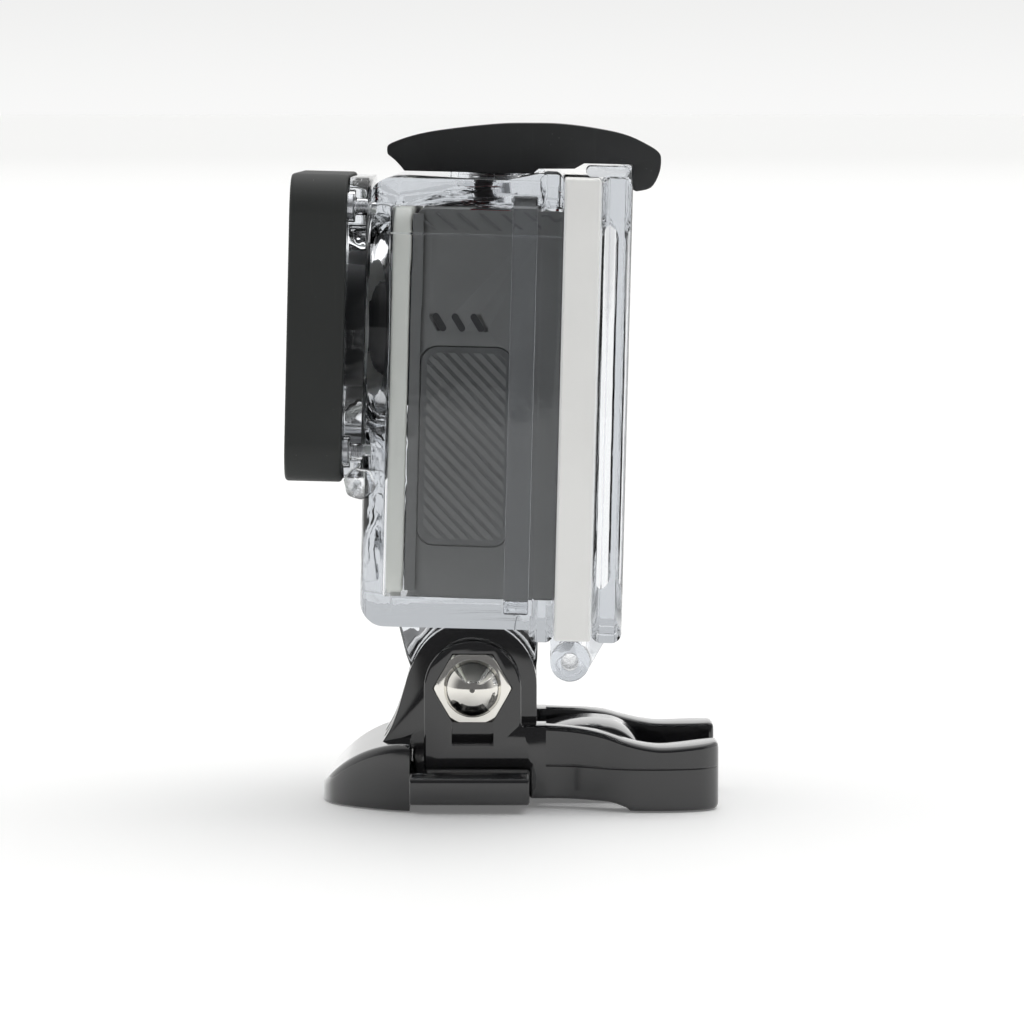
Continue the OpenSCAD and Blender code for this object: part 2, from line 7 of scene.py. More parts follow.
import sys  # noqa: E702
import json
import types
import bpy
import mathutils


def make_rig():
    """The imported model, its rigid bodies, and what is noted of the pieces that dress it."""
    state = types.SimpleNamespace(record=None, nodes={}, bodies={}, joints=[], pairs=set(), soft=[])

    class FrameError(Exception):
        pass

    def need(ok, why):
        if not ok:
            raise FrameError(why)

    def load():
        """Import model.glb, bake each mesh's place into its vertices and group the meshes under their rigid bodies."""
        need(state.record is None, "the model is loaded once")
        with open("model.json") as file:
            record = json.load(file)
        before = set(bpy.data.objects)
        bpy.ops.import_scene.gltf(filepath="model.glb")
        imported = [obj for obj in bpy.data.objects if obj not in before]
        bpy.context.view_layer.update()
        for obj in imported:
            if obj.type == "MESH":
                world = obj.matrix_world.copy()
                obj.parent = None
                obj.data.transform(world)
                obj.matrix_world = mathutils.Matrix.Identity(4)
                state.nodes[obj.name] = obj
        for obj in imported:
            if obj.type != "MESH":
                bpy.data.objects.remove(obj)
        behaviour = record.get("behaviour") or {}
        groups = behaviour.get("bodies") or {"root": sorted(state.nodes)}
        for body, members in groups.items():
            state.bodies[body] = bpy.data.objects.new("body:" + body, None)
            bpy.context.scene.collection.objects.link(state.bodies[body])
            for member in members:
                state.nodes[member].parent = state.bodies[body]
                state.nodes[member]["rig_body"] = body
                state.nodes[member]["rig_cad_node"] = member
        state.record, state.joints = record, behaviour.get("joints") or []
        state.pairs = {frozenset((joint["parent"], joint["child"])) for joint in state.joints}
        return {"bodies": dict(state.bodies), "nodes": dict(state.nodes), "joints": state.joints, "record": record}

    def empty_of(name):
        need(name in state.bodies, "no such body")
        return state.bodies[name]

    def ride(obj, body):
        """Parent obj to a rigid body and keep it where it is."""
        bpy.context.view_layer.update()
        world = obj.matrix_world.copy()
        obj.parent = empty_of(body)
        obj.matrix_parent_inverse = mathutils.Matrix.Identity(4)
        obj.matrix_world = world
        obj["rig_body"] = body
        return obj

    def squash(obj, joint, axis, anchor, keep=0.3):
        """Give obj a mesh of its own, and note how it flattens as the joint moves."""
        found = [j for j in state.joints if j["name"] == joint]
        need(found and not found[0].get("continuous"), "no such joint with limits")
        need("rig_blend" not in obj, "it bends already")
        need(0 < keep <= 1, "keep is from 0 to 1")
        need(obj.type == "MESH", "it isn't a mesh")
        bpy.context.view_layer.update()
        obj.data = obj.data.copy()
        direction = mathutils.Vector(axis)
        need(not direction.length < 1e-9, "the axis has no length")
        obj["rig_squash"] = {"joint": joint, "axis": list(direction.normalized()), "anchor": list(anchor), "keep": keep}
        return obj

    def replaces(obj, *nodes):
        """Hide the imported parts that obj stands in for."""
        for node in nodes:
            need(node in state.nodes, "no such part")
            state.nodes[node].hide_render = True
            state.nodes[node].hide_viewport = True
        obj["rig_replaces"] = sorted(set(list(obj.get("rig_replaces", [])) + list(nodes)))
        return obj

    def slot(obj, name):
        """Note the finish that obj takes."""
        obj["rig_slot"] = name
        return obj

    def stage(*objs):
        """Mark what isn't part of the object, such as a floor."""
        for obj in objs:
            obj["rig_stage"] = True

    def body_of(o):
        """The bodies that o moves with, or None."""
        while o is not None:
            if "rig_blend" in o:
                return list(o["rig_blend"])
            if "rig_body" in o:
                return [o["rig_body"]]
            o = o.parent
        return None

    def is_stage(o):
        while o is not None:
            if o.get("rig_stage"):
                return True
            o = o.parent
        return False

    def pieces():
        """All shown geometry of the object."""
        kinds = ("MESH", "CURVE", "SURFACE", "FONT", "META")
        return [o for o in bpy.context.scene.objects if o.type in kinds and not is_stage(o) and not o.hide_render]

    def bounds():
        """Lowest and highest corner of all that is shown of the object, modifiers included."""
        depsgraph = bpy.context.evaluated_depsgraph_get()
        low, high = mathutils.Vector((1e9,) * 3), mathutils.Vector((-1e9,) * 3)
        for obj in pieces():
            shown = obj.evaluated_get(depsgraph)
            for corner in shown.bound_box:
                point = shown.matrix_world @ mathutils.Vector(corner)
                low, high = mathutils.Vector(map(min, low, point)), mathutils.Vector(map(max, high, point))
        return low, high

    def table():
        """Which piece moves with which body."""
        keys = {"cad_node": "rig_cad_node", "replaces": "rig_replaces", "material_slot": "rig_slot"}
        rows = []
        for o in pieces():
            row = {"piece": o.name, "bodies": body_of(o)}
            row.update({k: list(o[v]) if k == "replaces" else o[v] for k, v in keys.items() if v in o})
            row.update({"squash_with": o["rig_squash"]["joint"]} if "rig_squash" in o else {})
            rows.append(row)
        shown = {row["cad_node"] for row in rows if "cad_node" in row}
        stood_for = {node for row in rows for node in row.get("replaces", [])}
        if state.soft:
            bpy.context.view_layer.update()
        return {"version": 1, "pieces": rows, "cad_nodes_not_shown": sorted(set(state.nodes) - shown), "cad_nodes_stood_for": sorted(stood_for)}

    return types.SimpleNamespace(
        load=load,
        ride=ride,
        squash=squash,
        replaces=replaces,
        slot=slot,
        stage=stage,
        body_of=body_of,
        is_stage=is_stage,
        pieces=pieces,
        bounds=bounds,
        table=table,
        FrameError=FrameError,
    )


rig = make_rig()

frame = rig.load()
CAD_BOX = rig.bounds()

import json  # noqa: E402
import logging  # noqa: E402
import math  # noqa: E402
from dataclasses import dataclass, field  # noqa: E402
from enum import Enum  # noqa: E402
from typing import Callable, Iterable, Optional, Sequence  # noqa: E402

import bmesh  # noqa: E402
import bpy  # noqa: E402
from mathutils import Matrix, Vector  # noqa: E402

log = logging.getLogger("action_camera")
MM = 0.001
Point2 = tuple[float, float]


# ---------------------------------------------------------------- places

@dataclass(frozen=True)
class HousingSpace:
    """The leaned frame in which the housing and camera are square, in millimetres about the pivot."""

    to_row: Matrix

    @classmethod
    def from_joints(cls) -> "HousingSpace":
        """Reads the lean from the tilt pivot and the lens axis.

        Returns:
            The space of the housing at rest.
        """
        joints = {j["name"]: j for j in frame["joints"]}
        pivot = Vector(joints["housing_tilt"]["pos_m"])
        rear = -Vector(joints["cap_pull"]["axis"])
        up = Vector((1, 0, 0)).cross(rear)
        turn = Matrix((Vector((1, 0, 0)), rear, up)).transposed().to_4x4()
        return cls(Matrix.Translation(pivot) @ turn @ Matrix.Scale(MM, 4))

    def box(self, node: str) -> tuple[Vector, Vector]:
        """The lowest and highest corner of a CAD node, square to the housing.

        Args:
            node: Name of the node.

        Returns:
            Two corners in millimetres.
        """
        back = self.to_row.inverted()
        points = [back @ v.co for v in frame["nodes"][node].data.vertices]
        low = Vector(min(p[i] for p in points) for i in range(3))
        high = Vector(max(p[i] for p in points) for i in range(3))
        return low, high


SPACE = HousingSpace.from_joints()
ROW = Matrix.Scale(MM, 4)


# ---------------------------------------------------------------- meshes

def smooth_path(points: Sequence[Point2], steps: int = 6) -> list[Point2]:
    """A Catmull-Rom curve through given points.

    Args:
        points: The points that the curve passes.
        steps: Number of short lines between two points.

    Returns:
        The points of the finer path, with both ends.
    """
    last = len(points) - 1
    path: list[Point2] = []
    for i in range(last):
        p = [points[min(max(i + k, 0), last)] for k in (-1, 0, 1, 2)]
        for s in range(steps):
            t = s / steps
            path.append(tuple(
                0.5 * (2 * p[1][a] + (p[2][a] - p[0][a]) * t
                       + (2 * p[0][a] - 5 * p[1][a] + 4 * p[2][a] - p[3][a]) * t * t
                       + (3 * p[1][a] - p[0][a] - 3 * p[2][a] + p[3][a]) * t ** 3)
                for a in (0, 1)))
    path.append(tuple(points[-1]))
    return path


def plain_object(name: str, bm: bmesh.types.BMesh, space: Matrix, crease: float = 35.0) -> bpy.types.Object:
    """Turns a bmesh into an object at the origin, with its place in its mesh.

    Args:
        name: Name of the piece.
        bm: The mesh, which is freed.
        space: Frame in which the mesh was drawn.
        crease: Angle in degrees over which an edge stays sharp.

    Returns:
        The new object.
    """
    bmesh.ops.remove_doubles(bm, verts=bm.verts, dist=1e-7)
    bm.transform(space)
    bmesh.ops.recalc_face_normals(bm, faces=bm.faces)
    mesh = bpy.data.meshes.new(name)
    bm.to_mesh(mesh)
    bm.free()
    mesh.shade_smooth()
    mesh.set_sharp_from_angle(angle=math.radians(crease))
    piece = bpy.data.objects.new(name, mesh)
    bpy.context.scene.collection.objects.link(piece)
    return piece


def settle(piece: bpy.types.Object, crease: float = 35.0) -> bpy.types.Object:
    """Makes the result of a piece's modifiers its own plain mesh.

    Args:
        piece: An object with live modifiers.
        crease: Angle in degrees over which an edge stays sharp.

    Returns:
        The same object, with no modifier.
    """
    graph = bpy.context.evaluated_depsgraph_get()
    mesh = bpy.data.meshes.new_from_object(piece.evaluated_get(graph))
    piece.modifiers.clear()
    piece.data = mesh
    mesh.shade_smooth()
    mesh.set_sharp_from_angle(angle=math.radians(crease))
    return piece


def bevelled(piece: bpy.types.Object, width: float, segments: int = 3, angle: float = 40.0,
             spared: Optional[Callable[[Vector], bool]] = None) -> bpy.types.Object:
    """Rounds a piece's edges.

    Args:
        piece: The object to round.
        width: Width of the rounding in millimetres.
        segments: Number of faces across the rounding.
        angle: Edges that turn more than this many degrees are rounded.
        spared: Says from a vertex in metres whether an edge between two such stays sharp.

    Returns:
        The same object.
    """
    if width > 0:
        round_off = piece.modifiers.new("round", "BEVEL")
        round_off.width = width * MM
        round_off.segments = segments
        round_off.limit_method = "ANGLE"
        round_off.angle_limit = math.radians(angle)
        if spared:
            round_off.limit_method = "WEIGHT"
            bm = bmesh.new()
            bm.from_mesh(piece.data)
            weight = bm.edges.layers.float.new("bevel_weight_edge")
            for edge in bm.edges:
                sharp = edge.calc_face_angle(0.0) > math.radians(angle)
                edge[weight] = float(sharp and not all(spared(v.co) for v in edge.verts))
            bm.to_mesh(piece.data)
            bm.free()
        round_off.miter_outer = "MITER_ARC"
        settle(piece)
    return piece


def joined(solids: Iterable[bmesh.types.BMesh]) -> bmesh.types.BMesh:
    """Puts several solids into one bmesh.

    Args:
        solids: The solids, which are freed.

    Returns:
        The bmesh that holds them all.
    """
    bm = bmesh.new()
    for solid in solids:
        part = bpy.data.meshes.new("part")
        solid.to_mesh(part)
        solid.free()
        bm.from_mesh(part)
        bpy.data.meshes.remove(part)
    return bm


def hollowed(piece: bpy.types.Object, *cutters: bmesh.types.BMesh) -> bpy.types.Object:
    """Cuts solids out of a piece.

    Args:
        piece: The object to cut, in metres.
        *cutters: Solids in millimetres from the base, which are freed.

    Returns:
        The same object.
    """
    for cutter in cutters:
        tool = plain_object("cutter", cutter, ROW)
        cut = piece.modifiers.new("cut", "BOOLEAN")
        cut.operation = "DIFFERENCE"
        cut.solver = "EXACT"
        cut.object = tool
        settle(piece)
        bpy.data.objects.remove(tool)
    return piece


def skin_of(node: str, name: str, edge: float, segments: int = 2) -> bpy.types.Object:
    """A refined copy of a CAD part, with merged faces and rounded edges.

    Args:
        node: The CAD node whose shape is copied.
        name: Name of the new piece.
        edge: Rounding of the edges in millimetres.
        segments: Faces across each rounding.

    Returns:
        The new piece, which stands for the node.
    """
    bm = bmesh.new()
    bm.from_mesh(frame["nodes"][node].data)
    bmesh.ops.remove_doubles(bm, verts=bm.verts, dist=2e-6)
    bmesh.ops.dissolve_limit(bm, angle_limit=math.radians(0.6), verts=bm.verts, edges=bm.edges)
    piece = plain_object(name, bm, Matrix.Identity(4))
    bevelled(piece, edge, segments)
    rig.replaces(piece, node)
    return piece


def prism(outline: Sequence[Point2], x0: float, x1: float) -> bmesh.types.BMesh:
    """A solid with a side outline, from x0 to x1.

    Args:
        outline: Points (y, z) round the side.
        x0: Lower end across.
        x1: Upper end across.

    Returns:
        The solid as a bmesh.
    """
    bm = bmesh.new()
    low = [bm.verts.new((x0, y, z)) for y, z in outline]
    high = [bm.verts.new((x1, y, z)) for y, z in outline]
    bm.faces.new(low)
    bm.faces.new(high[::-1])
    for i in range(len(outline)):
        j = (i + 1) % len(outline)
        bm.faces.new((low[i], low[j], high[j], high[i]))
    return bm


def run_along(outline: Sequence[Point2], y0: float, y1: float) -> bmesh.types.BMesh:
    """A solid with an outline seen from the front, from y0 to y1.

    Args:
        outline: Points (x, z) round the front.
        y0: Front end.
        y1: Rear end.

    Returns:
        The solid as a bmesh.
    """
    bm = prism(outline, y0, y1)
    bm.transform(Matrix(((0, 1, 0, 0), (1, 0, 0, 0), (0, 0, 1, 0), (0, 0, 0, 1))))
    return bm


def arc(centre: Point2, radius: float, start: float, end: float, steps: int = 24) -> list[Point2]:
    """Points on a round arc.

    Args:
        centre: Centre of the arc.
        radius: Its radius.
        start: Start angle in degrees.
        end: End angle in degrees.
        steps: Number of short lines.

    Returns:
        The points, with both ends.
    """
    turns = [math.radians(start + (end - start) * k / steps) for k in range(steps + 1)]
    return [(centre[0] + radius * math.cos(a), centre[1] + radius * math.sin(a)) for a in turns]


def loft(rings: Sequence[Sequence[Vector]]) -> bmesh.types.BMesh:
    """A closed skin over a row of rings with the same number of points.

    Args:
        rings: The rings in order, each a closed loop.

    Returns:
        The solid as a bmesh, with its first and last ring capped.
    """
    bm = bmesh.new()
    rows = [[bm.verts.new(p) for p in ring] for ring in rings]
    count = len(rows[0])
    for near, far in zip(rows, rows[1:]):
        for i in range(count):
            j = (i + 1) % count
            bm.faces.new((near[i], near[j], far[j], far[i]))
    bm.faces.new(rows[0][::-1])
    bm.faces.new(rows[-1])
    return bm


class Curve:
    """A smooth height or width along a piece, through given points."""

    def __init__(self, *points: Point2) -> None:
        """Draws the curve through pairs of place and value, in rising order of place."""
        self.path = smooth_path(points, 12)

    def at(self, place: float) -> float:
        """The value at a place, held past both ends.

        Args:
            place: How far along the piece.

        Returns:
            The height or width there.
        """
        if place <= self.path[0][0]:
            return self.path[0][1]
        for (a, va), (b, vb) in zip(self.path, self.path[1:]):
            if place <= b:
                return va + (vb - va) * (place - a) / max(b - a, 1e-9)
        return self.path[-1][1]


def rounded_rect(low: Point2, high: Point2, radius: float, steps: int = 6) -> list[Point2]:
    """The outline of a rectangle with round corners.

    Args:
        low: Its lowest corner.
        high: Its highest corner.
        radius: Radius of the corners.
        steps: Lines round each corner.

    Returns:
        The points, counter-clockwise.
    """
    centres = ((high[0] - radius, high[1] - radius), (low[0] + radius, high[1] - radius),
               (low[0] + radius, low[1] + radius), (high[0] - radius, low[1] + radius))
    points = []
    for quarter, (cx, cy) in enumerate(centres):
        for k in range(steps + 1):
            turn = (quarter + k / steps) * math.pi / 2
            points.append((cx + radius * math.cos(turn), cy + radius * math.sin(turn)))
    return points


def solid_box(low: Sequence[float], high: Sequence[float], turn: Matrix = Matrix.Identity(4)
              ) -> bmesh.types.BMesh:
    """A box between two corners, then turned.

    Args:
        low: Its lowest corner.
        high: Its highest corner.
        turn: Transform of the finished box.

    Returns:
        The box as a bmesh.
    """
    bm = bmesh.new()
    bmesh.ops.create_cube(bm, size=1.0)
    size = [h - l for l, h in zip(low, high)]
    middle = [(h + l) / 2 for l, h in zip(low, high)]
    bm.transform(turn @ Matrix.Translation(middle) @ Matrix.Diagonal((*size, 1.0)))
    return bm


# ---------------------------------------------------------------- repeated shapes

def geometry_tree(name: str, inputs: dict[str, str]) -> tuple["Nodes", bpy.types.Node, bpy.types.Node]:
    """An empty Geometry Nodes tree with named inputs.

    Args:
        name: Name of the tree.
        inputs: Names of its inputs, each with the kind of its socket.

    Returns:
        The writer, the tree's input node and its output node.
    """
    tree = bpy.data.node_groups.new(name, "GeometryNodeTree")
    for label, kind in inputs.items():
        tree.interface.new_socket(label, in_out="INPUT", socket_type="NodeSocket" + kind)
    tree.interface.new_socket("Geometry", in_out="OUTPUT", socket_type="NodeSocketGeometry")
    tree.is_modifier = True
    nodes = Nodes(tree)
    return nodes, nodes.add("NodeGroupInput"), nodes.add("NodeGroupOutput")


def run_tree(piece: bpy.types.Object, tree: bpy.types.NodeTree, space: Matrix, values: dict[str, object]
             ) -> bpy.types.Object:
    """Runs a Geometry Nodes tree on a piece and keeps its result as plain faces.

    Args:
        piece: The object on which the tree runs.
        tree: The tree.
        space: Frame in which the result is drawn.
        values: Values of the tree's inputs by name; the others keep their own.

    Returns:
        The same object, with no modifier.
    """
    layer = piece.modifiers.new(tree.name, "NODES")
    layer.node_group = tree
    for item in tree.interface.items_tree:
        if item.in_out == "INPUT" and item.name in values:
            layer[item.identifier] = values[item.name]
    settle(piece)
    piece.data.transform(space)
    return piece


class Layout(Enum):
    """How the copies of a repeated shape are laid out."""

    ROW = "row_of_copies"
    RING = "ring_of_copies"
    GRID = "grid_of_copies"


class Repeater:
    """Geometry Nodes trees that set copies of a small shape and trim them to a field."""

    def __init__(self) -> None:
        """Starts with no tree built."""
        self.trees: dict[Layout, bpy.types.NodeTree] = {}

    def tree(self, layout: Layout) -> bpy.types.NodeTree:
        """The tree of a layout, built when it is first asked for.

        Args:
            layout: The layout.

        Returns:
            Its Geometry Nodes tree.
        """
        if layout not in self.trees:
            self.trees[layout] = self.build(layout)
        return self.trees[layout]

    @staticmethod
    def build(layout: Layout) -> bpy.types.NodeTree:
        """Builds a layout's tree with named inputs.

        Args:
            layout: The layout.

        Returns:
            The Geometry Nodes tree.
        """
        nodes, start, result = geometry_tree(layout.value, {
            "Shape": "Geometry", "Count": "Int", "Start": "Vector", "Step": "Vector", "Trim": "Object",
            "Finish": "Material"})
        given = start.outputs
        copies = nodes.add("GeometryNodeInstanceOnPoints")
        if layout is Layout.RING:
            points = nodes.add("GeometryNodeMeshLine", mode="OFFSET")
            points.inputs["Offset"].default_value = (0.0, 0.0, 0.0)
            share = nodes.math("DIVIDE", 2 * math.pi, given["Count"])
            angle = nodes.math("MULTIPLY", nodes.add("GeometryNodeInputIndex").outputs[0], share)
            turn = nodes.add("ShaderNodeCombineXYZ")
            nodes.link(angle, turn.inputs["X"])
            nodes.link(turn.outputs[0], copies.inputs["Rotation"])
            nodes.link(given["Count"], points.inputs["Count"])
            nodes.link(given["Start"], points.inputs["Start Location"])
            spread = points.outputs["Mesh"]
        elif layout is Layout.ROW:
            points = nodes.add("GeometryNodeMeshLine", mode="OFFSET")
            nodes.link(given["Count"], points.inputs["Count"])
            nodes.link(given["Start"], points.inputs["Start Location"])
            nodes.link(given["Step"], points.inputs["Offset"])
            spread = points.outputs["Mesh"]
        else:
            points = nodes.add("GeometryNodeMeshGrid")
            size = nodes.add("ShaderNodeSeparateXYZ")
            nodes.link(given["Step"], size.inputs[0])
            nodes.link(size.outputs["X"], points.inputs["Size X"])
            nodes.link(size.outputs["Y"], points.inputs["Size Y"])
            nodes.link(given["Count"], points.inputs["Vertices X"])
            nodes.link(given["Count"], points.inputs["Vertices Y"])
            shift = nodes.add("GeometryNodeTransform")
            shift.inputs["Rotation"].default_value = (math.pi / 2, 0.0, 0.0)
            nodes.link(points.outputs["Mesh"], shift.inputs["Geometry"])
            nodes.link(given["Start"], shift.inputs["Translation"])
            spread = shift.outputs["Geometry"]
        nodes.link(spread, copies.inputs["Points"])
        nodes.link(given["Shape"], copies.inputs["Instance"])
        real = nodes.add("GeometryNodeRealizeInstances")
        nodes.link(copies.outputs["Instances"], real.inputs[0])
        finish = nodes.add("GeometryNodeSetMaterial")
        if layout is Layout.ROW:
            field_shape = nodes.add("GeometryNodeObjectInfo")
            nodes.link(given["Trim"], field_shape.inputs["Object"])
            trim = nodes.add("GeometryNodeMeshBoolean", operation="INTERSECT", solver="EXACT")
            nodes.link(real.outputs[0], trim.inputs["Mesh"])
            nodes.link(field_shape.outputs["Geometry"], trim.inputs["Mesh"])
            nodes.link(trim.outputs["Mesh"], finish.inputs["Geometry"])
        else:
            nodes.link(real.outputs[0], finish.inputs["Geometry"])
        nodes.link(given["Finish"], finish.inputs["Material"])
        nodes.link(finish.outputs["Geometry"], result.inputs["Geometry"])
        return nodes.tree

    def repeat(self, shape: bpy.types.Object, layout: Layout, space: Matrix, finish: bpy.types.Material,
               count: int, start: Sequence[float], step: Sequence[float] = (0.0, 0.0, 0.0),
               field_shape: Optional[bmesh.types.BMesh] = None) -> bpy.types.Object:
        """Turns a small shape into its laid-out copies.

        Args:
            shape: The object that holds one copy, in millimetres; it becomes the piece.
            layout: The layout.
            space: Frame in which the shape and the places are given.
            finish: Material of the copies.
            count: Number of copies along each direction.
            start: Place of the first copy, or the middle of a grid or ring.
            step: Way from copy to copy, or the size of a grid.
            field_shape: Solid to which a row is trimmed, which is freed.

        Returns:
            The piece, with plain faces.
        """
        values: dict[str, object] = {"Count": count, "Start": tuple(start), "Step": tuple(step),
                                     "Finish": finish}
        if field_shape is None:
            return run_tree(shape, self.tree(layout), space, values)
        trim = plain_object("trim_field", field_shape, Matrix.Identity(4))
        run_tree(shape, self.tree(layout), space, {"Trim": trim, **values})
        bpy.data.objects.remove(trim)
        return shape


REPEATER = Repeater()


class CoilWinder:
    """Winds springs with one Geometry Nodes tree."""

    def __init__(self) -> None:
        """Starts with no tree built."""
        self.tree: Optional[bpy.types.NodeTree] = None

    @staticmethod
    def build() -> bpy.types.NodeTree:
        """Builds the tree with named inputs.

        Returns:
            The Geometry Nodes tree.
        """
        nodes, start, result = geometry_tree("coil_spring", {
            "Radius": "Float", "Wire": "Float", "Height": "Float", "Turns": "Float", "Finish": "Material"})
        given = start.outputs
        helix = nodes.add("GeometryNodeCurveSpiral")
        helix.inputs["Resolution"].default_value = 40
        for label, socket in (("Turns", "Rotations"), ("Radius", "Start Radius"), ("Radius", "End Radius"),
                              ("Height", "Height")):
            nodes.link(given[label], helix.inputs[socket])
        wire = nodes.add("GeometryNodeCurvePrimitiveCircle")
        wire.inputs["Resolution"].default_value = 12
        nodes.link(given["Wire"], wire.inputs["Radius"])
        tube = nodes.add("GeometryNodeCurveToMesh")
        tube.inputs["Fill Caps"].default_value = True
        nodes.link(helix.outputs["Curve"], tube.inputs["Curve"])
        nodes.link(wire.outputs["Curve"], tube.inputs["Profile Curve"])
        real = nodes.add("GeometryNodeRealizeInstances")
        nodes.link(tube.outputs["Mesh"], real.inputs[0])
        finish = nodes.add("GeometryNodeSetMaterial")
        nodes.link(real.outputs[0], finish.inputs["Geometry"])
        nodes.link(given["Finish"], finish.inputs["Material"])
        nodes.link(finish.outputs["Geometry"], result.inputs["Geometry"])
        return nodes.tree

    def wind(self, name: str, space: Matrix, finish: bpy.types.Material, **sizes: float) -> bpy.types.Object:
        """Winds one spring that rises along its own +Z.

        Args:
            name: Name of the piece.
            space: Frame of the spring, in millimetres.
            finish: Its finish.
            **sizes: Values of the tree's inputs by name.

        Returns:
            The piece, with plain faces.
        """
        self.tree = self.tree or self.build()
        spring = bpy.data.objects.new(name, bpy.data.meshes.new(name))
        bpy.context.scene.collection.objects.link(spring)
        return run_tree(spring, self.tree, space, {"Finish": finish, **sizes})


WINDER = CoilWinder()


# ---------------------------------------------------------------- shader parts

class Group(Enum):
    """The shader groups that several finishes share."""

    GRAIN = "moulded_grain"
    DUST = "settled_dust"
    SCUFF = "fine_scuffs"


class Nodes:
    """A small writer for node trees."""

    def __init__(self, tree: bpy.types.NodeTree) -> None:
        """Keeps the tree that nodes go into."""
        self.tree = tree

    def add(self, kind: str, **values: object) -> bpy.types.Node:
        """Adds a node and sets its values.

        Args:
            kind: Identifier of the node's type.
            **values: Properties by name, or inputs as in_NAME with blanks as underscores.

        Returns:
            The node.
        """
        node = self.tree.nodes.new(kind)
        for key, value in values.items():
            if key.startswith("in_"):
                node.inputs[key[3:].replace("_", " ")].default_value = value
            else:
                setattr(node, key, value)
        return node

    def link(self, source: bpy.types.NodeSocket, target: bpy.types.NodeSocket) -> None:
        """Joins two sockets."""
        self.tree.links.new(source, target)

    def math(self, operation: str, a: object, b: object = 0.0, clamp: bool = False) -> bpy.types.NodeSocket:
        """A maths node fed by sockets or numbers.

        Args:
            operation: Name of the operation.
            a: First socket or number.
            b: Second socket or number.
            clamp: Whether the result is held within 0 and 1.

        Returns:
            The result's socket.
        """
        node = self.add("ShaderNodeMath", operation=operation, use_clamp=clamp)
        for socket, value in zip(node.inputs, (a, b)):
            if isinstance(value, bpy.types.NodeSocket):
                self.link(value, socket)
            else:
                socket.default_value = value
        return node.outputs[0]

    def ramp(self, source: bpy.types.NodeSocket, low: float, high: float) -> bpy.types.NodeSocket:
        """A mask that rises smoothly from 0 to 1.

        Args:
            source: Socket that is masked.
            low: Value at which the mask starts.
            high: Value at which it is full.

        Returns:
            The mask's socket.
        """
        node = self.add("ShaderNodeMapRange", interpolation_type="SMOOTHSTEP")
        self.link(source, node.inputs["Value"])
        node.inputs["From Min"].default_value = low
        node.inputs["From Max"].default_value = high
        return node.outputs["Result"]

    def mix(self, mask: bpy.types.NodeSocket, a: object, b: object) -> bpy.types.NodeSocket:
        """A blend of two colours by a mask.

        Args:
            mask: Socket that runs from 0 to 1.
            a: Colour or socket where the mask is 0.
            b: Colour or socket where the mask is 1.

        Returns:
            The blend's socket.
        """
        node = self.add("ShaderNodeMix", data_type="RGBA")
        self.link(mask, node.inputs["Factor"])
        for socket, value in ((node.inputs[6], a), (node.inputs[7], b)):
            if isinstance(value, bpy.types.NodeSocket):
                self.link(value, socket)
            else:
                socket.default_value = (*value, 1.0)
        return node.outputs[2]


